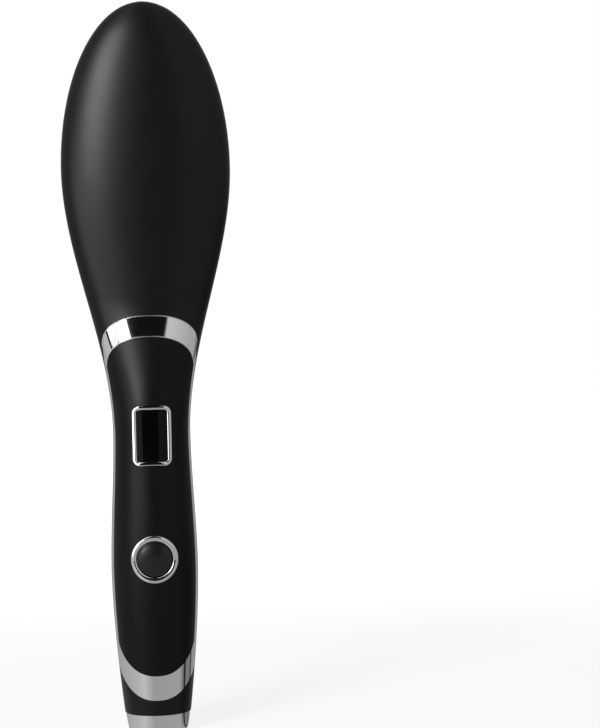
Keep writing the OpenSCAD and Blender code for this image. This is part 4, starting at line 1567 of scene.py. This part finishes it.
@dataclass(frozen=True)
class Softbox:
    """A rectangular lamp that faces the brush; brightness is its radiance."""

    name: str
    azimuth: float
    height: float
    distance: float
    size: tuple[float, float]
    brightness: float

    @property
    def power(self) -> float:
        """Power in watts of a lamp of this size and brightness."""
        return self.brightness * math.pi * self.size[0] * self.size[1] * MM * MM


@dataclass(frozen=True)
class Studio:
    """Floor, lamps, background and camera; greys are pairs of an azimuth in degrees and a grey."""

    form: BodyForm
    image_size: tuple[int, int] = (600, 728)
    brush_pixel: tuple[float, float] = (149.8, 364.0)
    scale: float = 0.37
    distance: float = 750.0
    lean: float = 1.33
    sensor: float = 36.0
    softboxes: tuple[Softbox, ...] = (
        Softbox("upper_left", -33.0, 580.0, 900.0, (300.0, 600.0), 13.0),
        Softbox("low_left", -52.0, 150.0, 900.0, (340.0, 260.0), 2.8),
        Softbox("far_side", 178.0, 520.0, 900.0, (280.0, 640.0), 8.0),
    )
    room: Greys = (
        (-180.0, 0.4), (-72.0, 0.55), (-70.5, 0.01), (-65.5, 0.01), (-64.0, 1.05), (-28.0, 1.15),
        (-25.5, 0.006), (18.0, 0.006), (20.0, 0.6), (45.0, 0.48), (75.0, 0.4), (180.0, 0.4),
    )
    fill: float = 0.3
    clamp: float = 1.5
    # painted reflections on the floor: greys by azimuth, with dark stripes, that only glossy rays see
    floor_reflection_greys: Greys = (
        (-180.0, 0.35), (-110.0, 0.42), (-60.0, 0.5), (-38.0, 0.58), (-10.0, 0.36), (30.0, 0.37),
        (68.0, 0.38), (83.0, 0.16), (84.0, 0.02), (91.0, 0.02), (92.0, 0.22), (112.0, 0.2),
        (113.0, 0.03), (118.0, 0.03), (120.0, 0.3), (180.0, 0.35),
    )
    floor_reach: float = 6000.0
    floor_z: float = -0.2
    floor_grey: float = 0.7
    floor_share: float = 0.7
    floor_glow: float = 1.12
    floor_fade: tuple[float, float] = (250.0, 900.0)

    @property
    def target(self) -> Vector:
        """Middle of the brush."""
        return Vector((0.0, 0.0, self.form.length / 2)) * MM

    def camera(self) -> None:
        """Sets the camera where the photographer stood for the control side."""
        data = bpy.data.cameras.new("camera")
        data.sensor_fit = "HORIZONTAL"
        data.sensor_width = self.sensor
        reach = self.distance / self.scale
        aside = self.brush_pixel[0] - self.image_size[0] / 2
        yaw = math.atan2(-aside, reach)
        data.lens = reach * math.cos(yaw) * self.sensor / self.image_size[0]
        data.clip_end = 50.0
        camera = placed("camera", data)
        base = Matrix(((1, 0, 0), (0, 0, -1), (0, 1, 0)))
        turn = base @ Matrix.Rotation(math.radians(-self.lean), 3, "Z") @ Matrix.Rotation(-yaw, 3, "Y")
        place = Vector((0.0, -self.distance * MM, self.target.z))
        camera.matrix_world = Matrix.Translation(place) @ turn.to_4x4()
        bpy.context.scene.camera = camera

    def lamps(self) -> None:
        """Hangs the softboxes round the brush."""
        for box in self.softboxes:
            data = bpy.data.lights.new(box.name, "AREA")
            data.shape = "RECTANGLE"
            data.size, data.size_y = (s * MM for s in box.size)
            data.energy = box.power
            lamp = placed(box.name, data)
            a = math.radians(box.azimuth)
            place = Vector((math.sin(a), -math.cos(a), 0.0)) * box.distance + Vector((0, 0, box.height))
            lamp.location = place * MM
            aim = Vector((0.0, 0.0, self.form.length / 2)) - place
            lamp.rotation_euler = aim.to_track_quat("-Z", "Y").to_euler()

    def background(self) -> None:
        """White for the camera, the room for reflections, and a plain level for soft light."""
        world = bpy.data.worlds.new("studio")
        world.use_nodes = True
        writer = TreeWriter(world.node_tree)
        writer.tree.nodes.clear()
        white = (1.0, 1.0, 1.0, 1.0)
        soft, room, plain = (
            writer.node("ShaderNodeBackground", {"Color": white, "Strength": strength})
            for strength in (self.fill, 1.0, 1.0)
        )
        writer.link(self.panorama(writer, "Generated", self.room), room.inputs["Color"])
        rays = writer.node("ShaderNodeLightPath").outputs
        last = soft.outputs["Background"]
        for ray, shader in (("Glossy", room), ("Transmission", plain), ("Camera", plain)):
            last = writer.blend(rays[f"Is {ray} Ray"], last, shader.outputs["Background"])
        writer.link(last, writer.node("ShaderNodeOutputWorld").inputs["Surface"])
        bpy.context.scene.world = world

    @staticmethod
    def panorama(writer: TreeWriter, place: str, greys: Greys) -> Socket:
        """A grey by compass direction: for the world, pale walls, a white screen and the dark behind the
        camera; for the floor, a painted reflection with dark stripes.

        Args:
            writer: writer of the world's or the floor's tree.
            place: name of the coordinate that gives the direction.
            greys: azimuth in degrees and grey of each stop.

        Returns:
            Socket with the grey in the direction of a ray, or of a point on the floor.
        """
        split = writer.node("ShaderNodeSeparateXYZ")
        writer.link(writer.node("ShaderNodeTexCoord").outputs[place], split.inputs["Vector"])
        ahead = writer.math("MULTIPLY", split.outputs["Y"], -1.0)
        span = writer.node("ShaderNodeMapRange", {"From Min": -math.pi, "From Max": math.pi})
        writer.link(writer.math("ARCTAN2", split.outputs["X"], ahead), span.inputs["Value"])
        ramp = writer.node("ShaderNodeValToRGB")
        stops = ramp.color_ramp.elements
        while len(stops) < len(greys):
            stops.new(0.5)
        for stop, (azimuth, _) in zip(stops, greys):
            stop.position = (azimuth + 180.0) / 360.0
        for stop, (_, grey) in zip(stops, greys):
            stop.color = (grey, grey, grey, 1.0)
        writer.link(span.outputs["Result"], ramp.inputs["Fac"])
        return ramp.outputs["Color"]

    def floor_surface(self) -> bpy.types.Material:
        """Surface that keeps the shadow near the brush, is white far away and clear from below.

        Glossy rays see a painted reflection on it: a glowing pattern of greys with dark stripes, which the
        chrome shows as dark lines.
        """
        material = bpy.data.materials.new("studio_floor")
        material.use_nodes = True
        writer = TreeWriter(material.node_tree)
        rays = writer.node("ShaderNodeLightPath").outputs
        grey = (self.floor_grey, self.floor_grey, self.floor_grey, 1.0)
        matte = writer.fill(writer.tree.nodes["Principled BSDF"], {
            "Base Color": grey, "Roughness": 0.8, "Specular IOR Level": 0.0,
        })
        glow = writer.node("ShaderNodeEmission", {"Strength": self.floor_glow})
        away = writer.node("ShaderNodeVectorMath")
        away.operation = "LENGTH"
        writer.link(writer.node("ShaderNodeTexCoord").outputs["Object"], away.inputs[0])
        near, far = (d * MM for d in self.floor_fade)
        spans = {"From Min": near, "From Max": far, "To Min": self.floor_share}
        fade = writer.node("ShaderNodeMapRange", spans)
        writer.link(away.outputs["Value"], fade.inputs["Value"])
        share = writer.math("MULTIPLY", rays["Is Camera Ray"], fade.outputs["Result"])
        seen = writer.blend(share, matte.outputs["BSDF"], glow.outputs["Emission"])
        # painted reflection: for glossy rays the floor glows with the grey pattern instead of its real
        # shading
        painted_reflection = writer.node("ShaderNodeEmission")
        writer.link(self.panorama(writer, "Object", self.floor_reflection_greys), painted_reflection.inputs["Color"])
        seen = writer.blend(rays["Is Glossy Ray"], seen, painted_reflection.outputs["Emission"])
        below = writer.node("ShaderNodeNewGeometry").outputs["Backfacing"]
        seen = writer.blend(below, seen, writer.node("ShaderNodeBsdfTransparent").outputs["BSDF"])
        writer.link(seen, writer.tree.nodes["Material Output"].inputs["Surface"])
        return material

    def floor(self) -> None:
        """A wide plain floor under the brush."""
        corners = np.array([(-1, -1, 0), (1, -1, 0), (1, 1, 0), (-1, 1, 0)]) * self.floor_reach
        mesh = new_mesh("floor", corners + (0, 0, self.floor_z), [(0, 1, 2, 3)])
        mesh.materials.append(self.floor_surface())
        placed("floor", mesh)

    def dress(self) -> None:
        """Sets up the whole studio."""
        bpy.context.scene.view_settings.view_transform = "Standard"
        bpy.context.scene.cycles.sample_clamp_direct = self.clamp
        self.camera()
        self.lamps()
        self.background()
        self.floor()


# ---------------------------------------------------------------- main


def main() -> None:
    """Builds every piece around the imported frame."""
    logging.basicConfig(level=logging.INFO, format="%(name)s: %(message)s")
    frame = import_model()
    form = BodyForm()
    outlines = Outlines(form)
    screws = Screws(form)
    bristles = BristleField(form, outlines)
    Mouldings(form, outlines).dress(screws.places(), bristles.places())
    SkinFittings(form).dress()
    CordEnd(form).dress()
    bristles.dress()
    screws.dress()
    InnerParts(frame["record"], frame["nodes"]).dress()
    Studio(form).dress()


if __name__ == "__main__":
    main()
